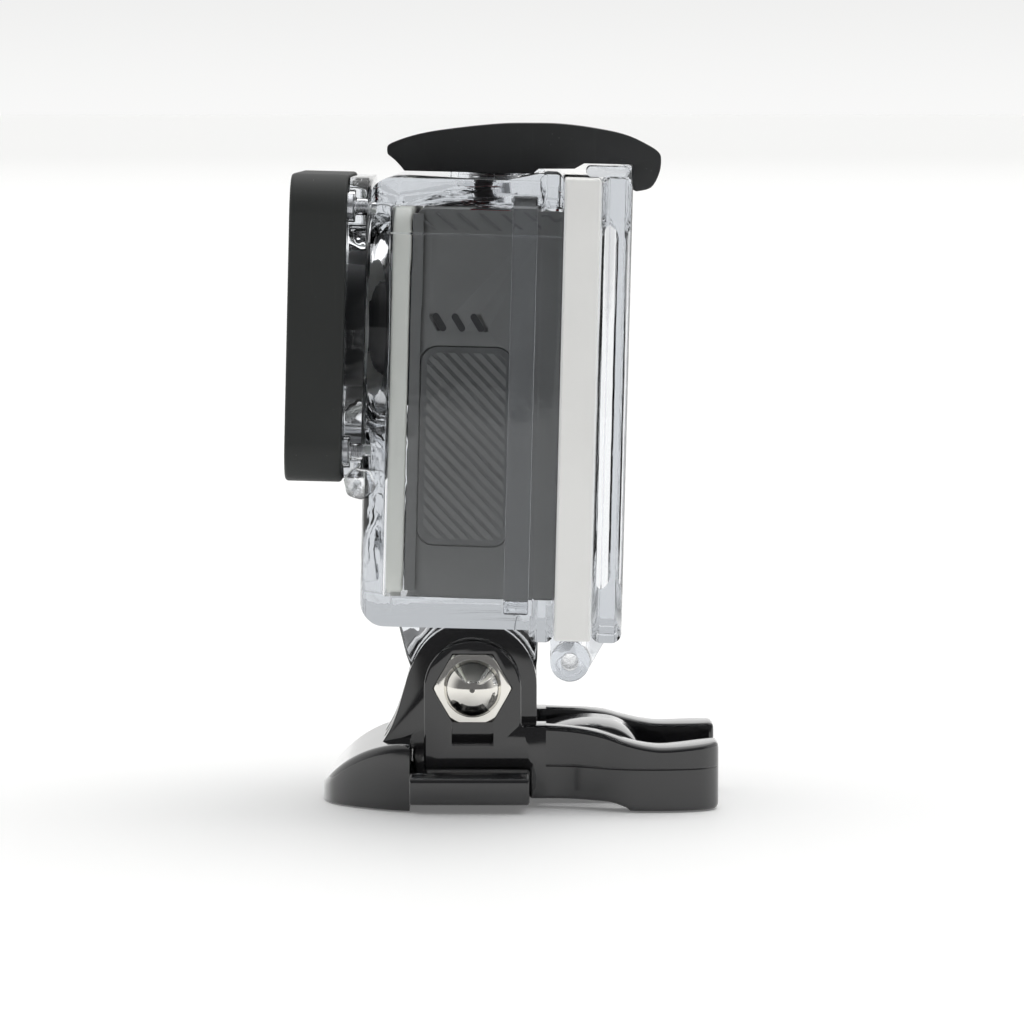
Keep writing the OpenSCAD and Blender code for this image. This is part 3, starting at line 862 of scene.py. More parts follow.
class SharedEffects:
    """Builds each shared shader group once."""

    def __init__(self) -> None:
        """Starts with no group built."""
        self.built: dict[Group, bpy.types.NodeTree] = {}

    def get(self, group: Group) -> bpy.types.NodeTree:
        """A group's tree, built when it is first asked for.

        Args:
            group: Which group.

        Returns:
            Its shader tree.
        """
        if group not in self.built:
            maker: dict[Group, Callable[[], bpy.types.NodeTree]] = {
                Group.GRAIN: self.grain, Group.DUST: self.dust, Group.SCUFF: self.scuff}
            self.built[group] = maker[group]()
        return self.built[group]

    @staticmethod
    def start(name: str, inputs: Iterable[tuple[str, float]], outputs: Iterable[str]
              ) -> tuple[Nodes, bpy.types.Node, bpy.types.Node]:
        """An empty group with named sockets.

        Args:
            name: Name of the group.
            inputs: Names and values of its inputs.
            outputs: Names of its outputs.

        Returns:
            The writer, the group's input node and its output node.
        """
        tree = bpy.data.node_groups.new(name, "ShaderNodeTree")
        for label, value in inputs:
            socket = tree.interface.new_socket(label, in_out="INPUT", socket_type="NodeSocketFloat")
            socket.default_value = value
        for label in outputs:
            tree.interface.new_socket(label, in_out="OUTPUT", socket_type="NodeSocketFloat")
        nodes = Nodes(tree)
        return nodes, nodes.add("NodeGroupInput"), nodes.add("NodeGroupOutput")

    def grain(self) -> bpy.types.NodeTree:
        """Spark-eroded mould texture: a fine height and a broad tone change.

        Returns:
            The group, with outputs Height and Tone.
        """
        nodes, given, result = self.start(
            Group.GRAIN.value, [("Scale", 5000.0), ("Broad", 120.0)], ["Height", "Tone"])
        place = nodes.add("ShaderNodeTexCoord")
        fine = nodes.add("ShaderNodeTexNoise", in_Detail=3.0, in_Roughness=0.6)
        broad = nodes.add("ShaderNodeTexNoise", in_Detail=4.0, in_Roughness=0.55)
        for texture, scale in ((fine, "Scale"), (broad, "Broad")):
            nodes.link(place.outputs["Object"], texture.inputs["Vector"])
            nodes.link(given.outputs[scale], texture.inputs["Scale"])
        nodes.link(fine.outputs["Fac"], result.inputs["Height"])
        nodes.link(broad.outputs["Fac"], result.inputs["Tone"])
        return nodes.tree

    def dust(self) -> bpy.types.NodeTree:
        """Specks and lint that lie more thickly on faces that look up.

        Returns:
            The group, with output Mask.
        """
        nodes, given, result = self.start(
            Group.DUST.value, [("Scale", 1500.0), ("Amount", 0.12), ("Upward", 0.7)], ["Mask"])
        place = nodes.add("ShaderNodeTexCoord")
        cells = nodes.add("ShaderNodeTexVoronoi", feature="F1", in_Randomness=1.0)
        nodes.link(place.outputs["Object"], cells.inputs["Vector"])
        nodes.link(given.outputs["Scale"], cells.inputs["Scale"])
        patches = nodes.add("ShaderNodeTexNoise", in_Scale=260.0, in_Detail=2.0)
        nodes.link(place.outputs["Object"], patches.inputs["Vector"])
        speck = nodes.math("LESS_THAN", cells.outputs["Distance"], nodes.math(
            "MULTIPLY", given.outputs["Amount"], nodes.ramp(patches.outputs["Fac"], 0.42, 0.7)))
        split = nodes.add("ShaderNodeSeparateXYZ")
        face = nodes.add("ShaderNodeNewGeometry")
        nodes.link(face.outputs["Normal"], split.inputs[0])
        upward = nodes.math("MULTIPLY", nodes.ramp(split.outputs["Z"], 0.1, 0.9), given.outputs["Upward"])
        share = nodes.math("ADD", upward, 0.3, clamp=True)
        nodes.link(nodes.math("MULTIPLY", speck, share), result.inputs["Mask"])
        return nodes.tree

    def scuff(self) -> bpy.types.NodeTree:
        """Hair scratches in two crossing directions.

        Returns:
            The group, with output Mask.
        """
        nodes, given, result = self.start(
            Group.SCUFF.value, [("Scale", 90.0), ("Amount", 0.5)], ["Mask"])
        place = nodes.add("ShaderNodeTexCoord")
        total: object = 0.0
        for turn, stretch in (((0.3, 0.9, 0.2), (1.0, 26.0, 1.0)), ((1.1, 0.2, 0.8), (22.0, 1.0, 1.0))):
            aim = nodes.add("ShaderNodeMapping", in_Rotation=turn, in_Scale=stretch)
            nodes.link(place.outputs["Object"], aim.inputs["Vector"])
            lines = nodes.add("ShaderNodeTexNoise", in_Detail=1.0)
            nodes.link(aim.outputs["Vector"], lines.inputs["Vector"])
            nodes.link(given.outputs["Scale"], lines.inputs["Scale"])
            total = nodes.math("ADD", nodes.ramp(lines.outputs["Fac"], 0.66, 0.7), total)
        nodes.link(nodes.math("MULTIPLY", total, given.outputs["Amount"], clamp=True),
                   result.inputs["Mask"])
        return nodes.tree


EFFECTS = SharedEffects()


def effect(nodes: Nodes, group: Group, **values: float) -> bpy.types.Node:
    """Places a shared group in a material.

    Args:
        nodes: Writer of the material's tree.
        group: Which group.
        **values: Its inputs by name.

    Returns:
        The group's node.
    """
    node = nodes.add("ShaderNodeGroup", node_tree=EFFECTS.get(group))
    for key, value in values.items():
        node.inputs[key].default_value = value
    return node


# ---------------------------------------------------------------- finishes

@dataclass(frozen=True)
class Moulded:
    """An opaque moulded or painted surface with grain, dust and scuffs."""

    name: str
    colour: tuple[float, float, float]
    rough: float
    grain: float = 5000.0
    relief: float = 0.02
    tone: float = 0.12
    dust: float = 0.1
    dust_colour: tuple[float, float, float] = (0.55, 0.55, 0.54)
    scuffs: float = 0.1
    coat: float = 0.0
    metallic: float = 0.0
    specular: float = 0.5
    ior: float = 1.5

    def build(self) -> bpy.types.Material:
        """Makes the material.

        Returns:
            The finished material.
        """
        material = bpy.data.materials.new(self.name)
        material.use_nodes = True
        nodes = Nodes(material.node_tree)
        shader = nodes.tree.nodes["Principled BSDF"]
        grain = effect(nodes, Group.GRAIN, Scale=self.grain, Broad=110.0)
        dust = effect(nodes, Group.DUST, Amount=self.dust)
        scuff = effect(nodes, Group.SCUFF, Amount=self.scuffs)
        dark = tuple(c * (1 - self.tone) for c in self.colour)
        light = tuple(min(c * (1 + self.tone), 1.0) for c in self.colour)
        base = nodes.mix(nodes.ramp(grain.outputs["Tone"], 0.3, 0.7), dark, light)
        base = nodes.mix(nodes.math("MULTIPLY", scuff.outputs["Mask"], 0.25), base,
                         tuple(0.6 * c + 0.16 for c in self.colour))
        nodes.link(nodes.mix(dust.outputs["Mask"], base, self.dust_colour), shader.inputs["Base Color"])
        wander = nodes.math("MULTIPLY_ADD", grain.outputs["Tone"], 0.16)
        wander.node.inputs[2].default_value = self.rough - 0.08
        rough = nodes.math("ADD", wander, nodes.math("MULTIPLY", scuff.outputs["Mask"], 0.25), clamp=True)
        rough = nodes.math("ADD", rough, nodes.math("MULTIPLY", dust.outputs["Mask"], 0.5), clamp=True)
        nodes.link(rough, shader.inputs["Roughness"])
        bump = nodes.add("ShaderNodeBump", in_Strength=0.35)
        bump.inputs["Distance"].default_value = self.relief * MM
        nodes.link(grain.outputs["Height"], bump.inputs["Height"])
        nodes.link(bump.outputs["Normal"], shader.inputs["Normal"])
        shader.inputs["Metallic"].default_value = self.metallic
        shader.inputs["Coat Weight"].default_value = self.coat
        shader.inputs["Coat Roughness"].default_value = 0.06
        shader.inputs["Specular IOR Level"].default_value = self.specular
        shader.inputs["IOR"].default_value = self.ior
        return material


@dataclass(frozen=True)
class Clear:
    """Clear or frosted plastic and glass, which lets lamps through to what it holds."""

    name: str
    tint: tuple[float, float, float]
    ior: float = 1.5
    rough: float = 0.0
    grain: float = 160.0
    ripple: float = 0.0
    shade: tuple[float, float, float] = (0.93, 0.94, 0.96)
    depth: tuple[float, float, float] = (0.70, 0.72, 0.745)
    density: float = 0.0

    def build(self) -> bpy.types.Material:
        """Makes the material.

        Returns:
            The finished material.
        """
        material = bpy.data.materials.new(self.name)
        material.use_nodes = True
        nodes = Nodes(material.node_tree)
        shader = nodes.tree.nodes["Principled BSDF"]
        shader.inputs["Base Color"].default_value = (*self.tint, 1.0)
        shader.inputs["Transmission Weight"].default_value = 1.0
        shader.inputs["IOR"].default_value = self.ior
        scuff = effect(nodes, Group.SCUFF, Amount=0.35)
        dust = effect(nodes, Group.DUST, Amount=0.07)
        marks = nodes.math("MULTIPLY", scuff.outputs["Mask"], 0.06)
        marks = nodes.math("ADD", marks, nodes.math("MULTIPLY", dust.outputs["Mask"], 0.35))
        nodes.link(nodes.math("ADD", marks, self.rough, clamp=True), shader.inputs["Roughness"])
        if self.ripple > 0:
            grain = effect(nodes, Group.GRAIN, Scale=self.grain, Broad=60.0)
            bump = nodes.add("ShaderNodeBump", in_Strength=self.ripple)
            bump.inputs["Distance"].default_value = 0.15 * MM
            nodes.link(grain.outputs["Height"], bump.inputs["Height"])
            nodes.link(bump.outputs["Normal"], shader.inputs["Normal"])
        path = nodes.add("ShaderNodeLightPath")
        through = nodes.add("ShaderNodeBsdfTransparent", in_Color=(*self.shade, 1.0))
        lamp_ray = nodes.math("MAXIMUM", path.outputs["Is Shadow Ray"], path.outputs["Is Diffuse Ray"])
        blend = nodes.add("ShaderNodeMixShader")
        nodes.link(lamp_ray, blend.inputs[0])
        nodes.link(shader.outputs[0], blend.inputs[1])
        nodes.link(through.outputs[0], blend.inputs[2])
        result = nodes.tree.nodes["Material Output"]
        nodes.link(blend.outputs[0], result.inputs["Surface"])
        if self.density > 0:
            inside = nodes.add("ShaderNodeVolumeAbsorption", in_Color=(*self.depth, 1.0),
                               in_Density=self.density)
            nodes.link(inside.outputs[0], result.inputs["Volume"])
        return material


class Palette:
    """Every finish on the object, built once each."""

    def __init__(self) -> None:
        """Builds all finishes."""
        self.buckle = Moulded("gloss_black_plastic", (0.010, 0.010, 0.011), 0.10, grain=1500.0,
                              relief=0.001, dust=0.06, scuffs=0.06, coat=0.8).build()
        self.knob = Moulded("knob_black_plastic", (0.013, 0.013, 0.014), 0.35).build()
        self.cap = Moulded("matt_cap", (0.023, 0.025, 0.024), 0.55, grain=4200.0, relief=0.03,
                           tone=0.06, dust=0.05, scuffs=0.05, specular=0.35).build()
        self.latch = Moulded("satin_latch", (0.034, 0.035, 0.036), 0.45, grain=4000.0, relief=0.02,
                             tone=0.08, dust=0.06, scuffs=0.08, specular=0.4).build()
        self.gasket = Moulded("white_silicone", (0.975, 0.975, 0.955), 0.55, grain=900.0, relief=0.02,
                              tone=0.02, dust=0.03, scuffs=0.02).build()
        self.seal = Moulded("black_seal", (0.02, 0.02, 0.02), 0.5).build()
        self.casing = Moulded("camera_grey", (0.150, 0.151, 0.143), 0.45, grain=4500.0, relief=0.004,
                              tone=0.05, dust=0.05, scuffs=0.05).build()
        self.plate = Moulded("off_white_plate", (0.86, 0.86, 0.77), 0.4, grain=3000.0, relief=0.01,
                             tone=0.03, dust=0.03, scuffs=0.03).build()
        # Painted shade: a darker copy of the camera grey, for the side door's recessed plate between its ribs and for
        # the ribbed band high on the side.
        self.shade = Moulded("camera_grey_groove", (0.112, 0.114, 0.109), 0.5, relief=0.004, dust=0.04,
                             scuffs=0.0).build()
        self.black = Moulded("satin_black", (0.015, 0.015, 0.016), 0.4).build()
        self.screen = Moulded("display_black", (0.004, 0.005, 0.006), 0.1, relief=0.0, dust=0.05,
                              coat=1.0).build()
        self.chrome = Moulded("polished_nut", (0.84, 0.82, 0.77), 0.10, grain=700.0, relief=0.004,
                              tone=0.03, dust=0.08, scuffs=0.15, metallic=1.0).build()
        self.steel = Moulded("stainless", (0.58, 0.58, 0.59), 0.28, grain=2500.0, relief=0.008,
                             dust=0.05, scuffs=0.3, metallic=1.0).build()
        self.alloy = Moulded("bare_alloy", (0.62, 0.62, 0.63), 0.4, metallic=1.0).build()
        self.board = Moulded("solder_mask", (0.012, 0.07, 0.035), 0.3, coat=0.5).build()
        self.cell = Moulded("cell_sleeve", (0.04, 0.045, 0.06), 0.35).build()
        self.red = Moulded("button_red", (0.30, 0.02, 0.02), 0.4).build()
        self.clear = Clear("clear_polycarbonate", (0.92, 0.93, 0.945), ior=1.34, ripple=0.3,
                           density=24.0).build()
        self.frost = Clear("frosted_polycarbonate", (0.95, 0.96, 0.975), rough=0.12, grain=700.0,
                           ripple=0.6).build()
        self.window = Clear("port_glass", (0.98, 0.98, 0.985), ior=1.45).build()
        self.lens = Clear("lens_glass", (0.55, 0.6, 0.75), ior=1.6).build()


def dress(piece: bpy.types.Object, material: bpy.types.Material, slot: str, body: str
          ) -> bpy.types.Object:
    """Gives a piece its finish, its record slot and the body that it rides on.

    Args:
        piece: The object.
        material: Its finish.
        slot: The record's slot.
        body: Name of the CAD body.

    Returns:
        The same object.
    """
    piece.data.materials.clear()
    piece.data.materials.append(material)
    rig.slot(piece, slot)
    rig.ride(piece, body)
    return piece


def refinish(node: str, material: bpy.types.Material) -> None:
    """Gives a CAD node that is shown as it is its finish.

    Args:
        node: Name of the node.
        material: Its finish.
    """
    mesh = frame["nodes"][node].data
    mesh.materials.clear()
    mesh.materials.append(material)


# ---------------------------------------------------------------- buckle

@dataclass
class Buckle:
    """The quick-release buckle with its nut, screw and spring legs, in millimetres from the base."""

    palette: Palette
    nose_rear: float = -7.3
    nose_front: float = -17.9
    crown: float = 7.8
    nose_arc: float = 12.9
    cross_arc: float = 220.0
    rail_half: float = 16.5
    deck_rear: float = 6.7
    leg_root: float = 8.6
    leg_rear: float = 28.8
    face: float = 11.0
    parting: float = 4.95
    parting_depth: float = 0.07
    pad_front: float = 19.0
    tip_round: float = 0.6
    top_round: float = 0.55
    inner_round: float = 0.4
    pivot: float = 14.0
    ear: float = 7.5
    boss: float = 5.7
    screw: float = 2.55
    prong_width: float = 3.0
    prong_pitch: float = 6.0
    nut_corner: float = 4.7
    knob_radius: float = 7.2
    knob_outer: float = -19.5

    def build(self) -> None:
        """Builds every piece of the buckle."""
        for piece in (self.nose(), self.rails(), self.deck(), self.prongs(), self.boss_block(),
                      self.low_shoulder()):
            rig.replaces(piece, "buckle_base")
            dress(piece, self.palette.buckle, "buckle_black", "buckle")
        for side, name in ((1, "left_leg"), (-1, "right_leg")):
            leg = self.leg(side, name + "_skin")
            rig.replaces(leg, name)
            dress(leg, self.palette.buckle, "buckle_black", name)
        self.nut()
        bolt = skin_of("clamp_bolt", "clamp_bolt_skin", 0.2)
        dress(bolt, self.palette.steel, "steel", "clamp_screw")
        knob = skin_of("clamp_knob", "clamp_knob_skin", 0.5, 3)
        dress(knob, self.palette.knob, "buckle_black", "clamp_screw")
        self.knob_ribs()

    def nose(self) -> bpy.types.Object:
        """The nose, nearly flat on top and rounded into its side walls.

        Returns:
            The new piece.
        """
        plan = Curve((7.3, 14.5), (9.3, 13.75), (11.6, 12.3), (14.4, 9.9), (16.4, 7.4), (17.3, 5.2),
                     (17.75, 2.8), (17.9, 0.4))
        fillet, across, along = 0.9, 40, 40
        rings = []
        for j in range(along + 1):
            y = self.nose_rear + (self.nose_front - self.nose_rear) * math.sin(j / along * math.pi / 2)
            half = plan.at(-y)
            rise = self.nose_arc ** 2 - (y - self.nose_rear - 0.3) ** 2
            side = self.crown - self.nose_arc + math.sqrt(rise)
            ring = []
            for i in range(across + 1):
                x = half * math.sin((i / across - 0.5) * math.pi)
                crown = self.crown + 0.5 - x * x / (2 * self.cross_arc)
                near = max(min(fillet, half) - (half - abs(x)), 0.0)
                drop = fillet - math.sqrt(max(fillet ** 2 - near ** 2, 0.0))
                ring.append(Vector((x, y, min(side, crown) - drop)))
            ring += [Vector((half, y, 0.0)), Vector((-half, y, 0.0))]
            rings.append(ring)
        piece = plain_object("buckle_nose", loft(rings), ROW, 50.0)
        return bevelled(piece, 0.25, 2, 60.0)

    def rails(self) -> bpy.types.Object:
        """The rails with their bevelled upper edge.

        Returns:
            The new piece.
        """
        half = self.rail_half
        outline = [(-half, 0.9), (half, 0.9), (half, 3.9), (half - 0.7, 4.6), (-half + 0.7, 4.6),
                   (-half, 3.9)]
        rails = plain_object("buckle_rails", run_along(outline, self.nose_rear, self.deck_rear), ROW)
        return bevelled(rails, 0.35, 4, 30.0)

    def deck(self) -> bpy.types.Object:
        """The middle of the deck and the tongue behind it, with the base face.

        Returns:
            The new piece.
        """
        path = smooth_path([(6.9, 7.9), (8.6, 8.3), (11.2, 8.9), (14.0, 9.1), (16.8, 8.75), (18.8, 7.5),
                            (20.0, 5.5), (20.1, 3.0), (18.6, 1.0)], 6)
        outline = [(self.nose_rear + 0.2, 0.0), (self.nose_rear + 0.2, 7.3), (-5.6, 7.9),
                   *path, (5.2, 1.0), (5.0, 0.0)]
        deck = plain_object("buckle_deck", prism(outline, -6.2, 6.2), ROW)
        return bevelled(deck, 0.35, 3, 30.0)

    def prongs(self) -> bpy.types.Object:
        """The three prongs round the pivot, flared into the nose in front.

        Returns:
            The new piece.
        """
        flare = smooth_path([(-11.2, 6.5), (-10.5, 7.5), (-9.6, 9.1), (-8.8, 11.2), (-8.15, 13.4),
                             (-7.45, 15.7), (-6.5, 17.75)], 5)
        top = arc((0.0, self.pivot), self.ear, 150, 0, 30)
        outline = flare[:-1] + top + [(self.ear, 6.2)]
        half = self.prong_width / 2
        solids = [prism(outline, x - half, x + half) for x in (-self.prong_pitch, 0.0, self.prong_pitch)]
        prongs = bevelled(plain_object("buckle_prongs", joined(solids), ROW), 0.45, 4, 40.0)
        return hollowed(prongs, prism(arc((0.0, self.pivot), self.screw, 0, 354, 59), -9, 9))

    def boss_block(self) -> bpy.types.Object:
        """The arched boss round the nut and the wall from which the near leg runs back.

        Returns:
            The new piece.
        """
        outline = [(-self.boss, 4.5), *arc((0.0, self.pivot), self.boss, 180, 0, 36), (self.boss, 9.6),
                   (self.leg_root, 9.6), (self.leg_root, 1.0), (self.deck_rear, 1.0), (self.deck_rear, 4.5)]
        block = plain_object("nut_boss_block", prism(outline, 6.2, self.face), ROW)
        bevelled(block, 0.3, 4, 40.0, lambda v: v.y > (self.leg_root - 0.01) * MM)
        hexagon = arc((0.0, self.pivot), self.nut_corner, 0, 300, 5)
        return hollowed(block, prism(hexagon, 7.3, 12.0),
                        solid_box((8.4, -2.45, 7.2), (12, 2.45, self.pivot - 3)),
                        solid_box((6.8, -2.45, 7.2), (12, 2.45, 8.4)))

    def low_shoulder(self) -> bpy.types.Object:
        """The wall from which the far leg runs back, low beside the knob.

        Returns:
            The new piece.
        """
        outline = [(-self.boss, 4.5), (-self.boss, 6.0), (6.2, 6.0), (6.8, 9.6), (self.leg_root, 9.6),
                   (self.leg_root, 1.0), (self.deck_rear, 1.0), (self.deck_rear, 4.5)]
        block = plain_object("low_shoulder", prism(outline, -self.face, -6.2), ROW)
        return bevelled(block, 0.3, 4, 40.0, lambda v: v.y > (self.leg_root - 0.01) * MM)

    def leg(self, side: int, name: str) -> bpy.types.Object:
        """A spring leg, lofted along its length from the seam at its root.

        Args:
            side: 1 for the camera's left, -1 for its right.
            name: Name of the piece.

        Returns:
            The new piece.
        """
        outer = Curve((8.0, 11.0), (8.6, 11.0), (11, 11.3), (13.6, 12.5), (16, 13.9), (18.5, 14.65),
                      (22, 14.8), (25, 14.3), (27.2, 13.3), (28.8, 11.6))
        inner = Curve((8.6, 8.1), (14, 9.2), (18, 10.2), (21, 9.9), (24, 8.8), (26.5, 7.7), (28.8, 7.2))
        top = Curve((8.0, 9.6), (8.6, 9.6), (12.5, 9.35), (15.5, 8.9), (18, 8.15), (20.5, 7.6), (23, 7.45),
                    (28.8, 7.85))
        low = Curve((8.6, 1.0), (15, 1.0), (16.6, 0.85), (18.2, 0.3), (self.pad_front, 0.0), (28.8, 0.0))
        rings = []
        stations = [self.leg_root + (self.leg_rear - self.leg_root) * i / 66 for i in range(65)]
        stations += [self.leg_rear - 0.4, self.leg_rear - 0.22, self.leg_rear - 0.1, self.leg_rear - 0.02,
                     self.leg_rear]
        cut, groove, crown, brow = self.parting, self.parting_depth, self.top_round, self.inner_round
        for y in stations:
            past = max(y - (self.leg_rear - self.tip_round), 0.0)
            inset = self.tip_round - math.sqrt(max(self.tip_round ** 2 - past * past, 0.0))
            x0, x1 = inner.at(y) + inset, outer.at(y) - inset
            floor, high = max(low.at(y), 0.0) + inset, top.at(y) - inset
            ring = [(x0, floor + 0.2), (x0 + 0.2, floor), (x1 - 0.3, floor), (x1 - 0.09, floor + 0.09),
                    (x1, floor + 0.3), (x1, floor + 0.38), (x1, cut - 0.18), (x1, cut - 0.12),
                    (x1 - groove, cut - 0.03), (x1 - groove, cut + 0.03), (x1, cut + 0.12),
                    (x1, cut + 0.18), (x1, high - crown - 0.07),
                    *arc((x1 - crown, high - crown), crown, 0, 90, 5),
                    *arc((x0 + brow, high - brow), brow, 90, 180, 4)]
            rings.append([Vector((side * x, y, z)) for x, z in ring])
        return plain_object(name, loft(rings), ROW, 50.0)

    def nut(self) -> None:
        """The acorn nut: a chamfered hexagon, a turned shoulder and a polished dome."""
        nut = skin_of("acorn_nut", "polished_acorn_nut", 0.12, 3)
        dress(nut, self.palette.chrome, "chrome", "buckle")

    def knob_ribs(self) -> None:
        """Fine ribs on the knob's six lobes."""
        bars = [solid_box((1.2, -0.25, self.knob_radius - 0.3), (8.8, 0.25, self.knob_radius + 0.08),
                          Matrix.Rotation(math.radians(turn), 4, "X")) for turn in range(18, 43, 6)]
        ribs = plain_object("knob_ribs", joined(bars), Matrix.Identity(4))
        bevelled(ribs, 0.08 / MM, 2)
        REPEATER.repeat(ribs, Layout.RING, ROW, self.palette.knob, 6,
                        (self.knob_outer, 0.0, self.pivot))
        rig.replaces(ribs, "clamp_knob")
        dress(ribs, self.palette.knob, "buckle_black", "clamp_screw")


# ---------------------------------------------------------------- housing

@dataclass
class Housing:
    """The clear housing, its door, port, latch and buttons."""

    palette: Palette
    spring_wire: float = 0.16
    spring_turns: float = 2.5
    spring_pressed: float = 0.36

    def build(self) -> None:
        """Builds every piece of the housing."""
        clear = self.palette.clear
        for node, name, edge in (("housing_shell", "clear_shell", 0.35),
                                 ("housing_fingers", "clear_fingers", 0.35),
                                 ("port_frame", "clear_port_frame", 0.3)):
            dress(skin_of(node, name, edge, 3), clear, "clear", "housing")
        self.port_boss()
        self.side_beads()
        refinish("port_window", self.palette.window)
        refinish("port_seal", self.palette.gasket)
        refinish("door_hinge_pin", self.palette.frost)
        self.port_screws()
        dress(skin_of("back_door", "clear_back_door", 0.35, 3), clear, "clear", "back_door")
        dress(skin_of("door_gasket", "white_gasket", 0.15, 2), self.palette.gasket, "gasket", "back_door")
        cap = skin_of("port_cap", "dark_port_cap", 0.9, 4)
        dress(cap, self.palette.cap, "cap_black", "port_cap")
        self.latch()
        self.buttons()

    def side_beads(self) -> None:
        """The flange's rounded bead and the fine line over the window on the near side wall."""
        beads = {"flange_bead": ((32.6, 3.5, 10.9), (33.2, 6.3, 58.0), 0.28),
                 "window_line": ((32.65, -10.5, 53.4), (32.95, 9.0, 53.62), 0.08)}
        for name, (low, high, edge) in beads.items():
            bead = plain_object(name, solid_box(low, high), SPACE.to_row)
            bevelled(bead, edge, 4)
            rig.replaces(bead, "housing_shell")
            dress(bead, self.palette.clear, "clear", "housing")

    def port_boss(self) -> None:
        """The faceted screw boss low on the port frame's side."""
        low, high = SPACE.box("port_frame")
        centre = (-13.05, low.z - 0.2)
        radii = [1.95, 1.7, 1.9, 1.6, 1.95, 1.75, 1.88, 1.62, 1.93, 1.7, 1.85, 1.66, 1.9]
        points = [(centre[0] + r * math.cos(a), centre[1] + r * math.sin(a))
                  for r, a in ((r, 2 * math.pi * k / len(radii)) for k, r in enumerate(radii))]
        boss = plain_object("port_boss", prism(points, high.x - 3.0, high.x), SPACE.to_row, 20.0)
        bevelled(boss, 0.4, 2, 20.0)
        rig.replaces(boss, "port_frame")
        dress(boss, self.palette.frost, "clear", "housing")

    def port_screws(self) -> None:
        """The four countersunk screws that hold the port frame, with threaded shanks."""
        low, high = SPACE.box("port_screws")
        reach = 1.5
        middle = (low + high) / 2
        profile = [(0.0, 0.55), (0.55, 0.55), (0.55, 0.0), (1.35, 0.0), (1.5, 0.15), (1.5, 0.7),
                   (0.75, 1.0)]
        for k in range(5):
            start = 1.05 + 0.3 * k
            profile += [(0.75, start), (0.6, start + 0.15)]
        profile.append((0.0, high.y - low.y))
        bm = bmesh.new()
        around = 32
        rings = [[bm.verts.new((r * math.cos(a), y, r * math.sin(a)))
                  for a in (2 * math.pi * k / around for k in range(around))] for r, y in profile]
        for near, far in zip(rings, rings[1:]):
            for i in range(around):
                j = (i + 1) % around
                bm.faces.new((near[i], near[j], far[j], far[i]))
        bmesh.ops.remove_doubles(bm, verts=bm.verts, dist=1e-6)
        screw = plain_object("port_screw_set", bm, Matrix.Identity(4))
        span = (high.x - low.x - 2 * reach, high.z - low.z - 2 * reach, 0.0)
        REPEATER.repeat(screw, Layout.GRID, SPACE.to_row, self.palette.steel, 2,
                        (middle.x, low.y, middle.z), span)
        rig.replaces(screw, "port_screws")
        dress(screw, self.palette.steel, "steel", "housing")

    def latch(self) -> None:
        """The latch, with its curved back and rounded edges."""
        top = smooth_path([(-11.4, 62.6), (-10.95, 63.4), (-7.6, 64.6), (-3, 65.4), (1.6, 65.95),
                           (5.1, 66.1), (8.6, 66.1), (12.3, 65.75), (16.2, 65.05), (18.8, 63.95),
                           (20.1, 63.1), (20.4, 62.2), (20.2, 60.6), (19.3, 59.0), (17.6, 58.5)], 5)
        under = [(17.15, 58.75), (17.15, 61.6), (11.5, 61.6), (10.4, 60.95), (6.2, 60.85), (5.6, 60.25)]
        scoop = smooth_path([(-9.35, 60.25), (-9.75, 60.75), (-10.5, 61.5), (-11.3, 62.1)], 4)
        piece = plain_object("curved_latch", prism(top + under + scoop, -12, 12), SPACE.to_row)
        bevelled(piece, 0.5, 4, 40.0)
        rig.replaces(piece, "latch")
        dress(piece, self.palette.latch, "latch_black", "latch")

    def buttons(self) -> None:
        """The three plungers with their rings and springs."""
        dark, frost = (self.palette.latch, "latch_black"), (self.palette.frost, "clear")
        kinds = {"shutter": (*dark, (0, 0, 1)), "power": (*frost, (0, -1, 0)), "mode": (*dark, (-1, 0, 0))}
        for name, (finish, slot, _) in kinds.items():
            body = name + "_plunger"
            dress(skin_of(body, body + "_skin", 0.3, 3), finish, slot, body)
            refinish(name + "_oring", self.palette.seal)
        for name, (_, _, out) in kinds.items():
            self.spring(name, Vector(out))

    def spring(self, name: str, out: Vector) -> None:
        """A button's return spring, which is squeezed as the button goes in.

        Args:
            name: Name of the button.
            out: Direction in which the button springs back.
        """
        low, high = SPACE.box(name + "_spring")
        height = abs((high - low).dot(out))
        radius = max(high - low) / 2 - self.spring_wire
        floor = (low + high) / 2 - out * (height / 2)
        space = SPACE.to_row @ Matrix.Translation(floor + out * self.spring_wire) @ out.to_track_quat(
            "Z", "Y").to_matrix().to_4x4()
        piece = WINDER.wind(name + "_return_spring", space, self.palette.steel, Radius=radius,
                            Wire=self.spring_wire, Height=height - 2 * self.spring_wire,
                            Turns=self.spring_turns)
        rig.replaces(piece, name + "_spring")
        dress(piece, self.palette.steel, "steel", "housing")
        turn = SPACE.to_row.to_3x3().normalized()
        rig.squash(piece, name + "_press", turn @ out, SPACE.to_row @ floor, self.spring_pressed)


# ---------------------------------------------------------------- camera

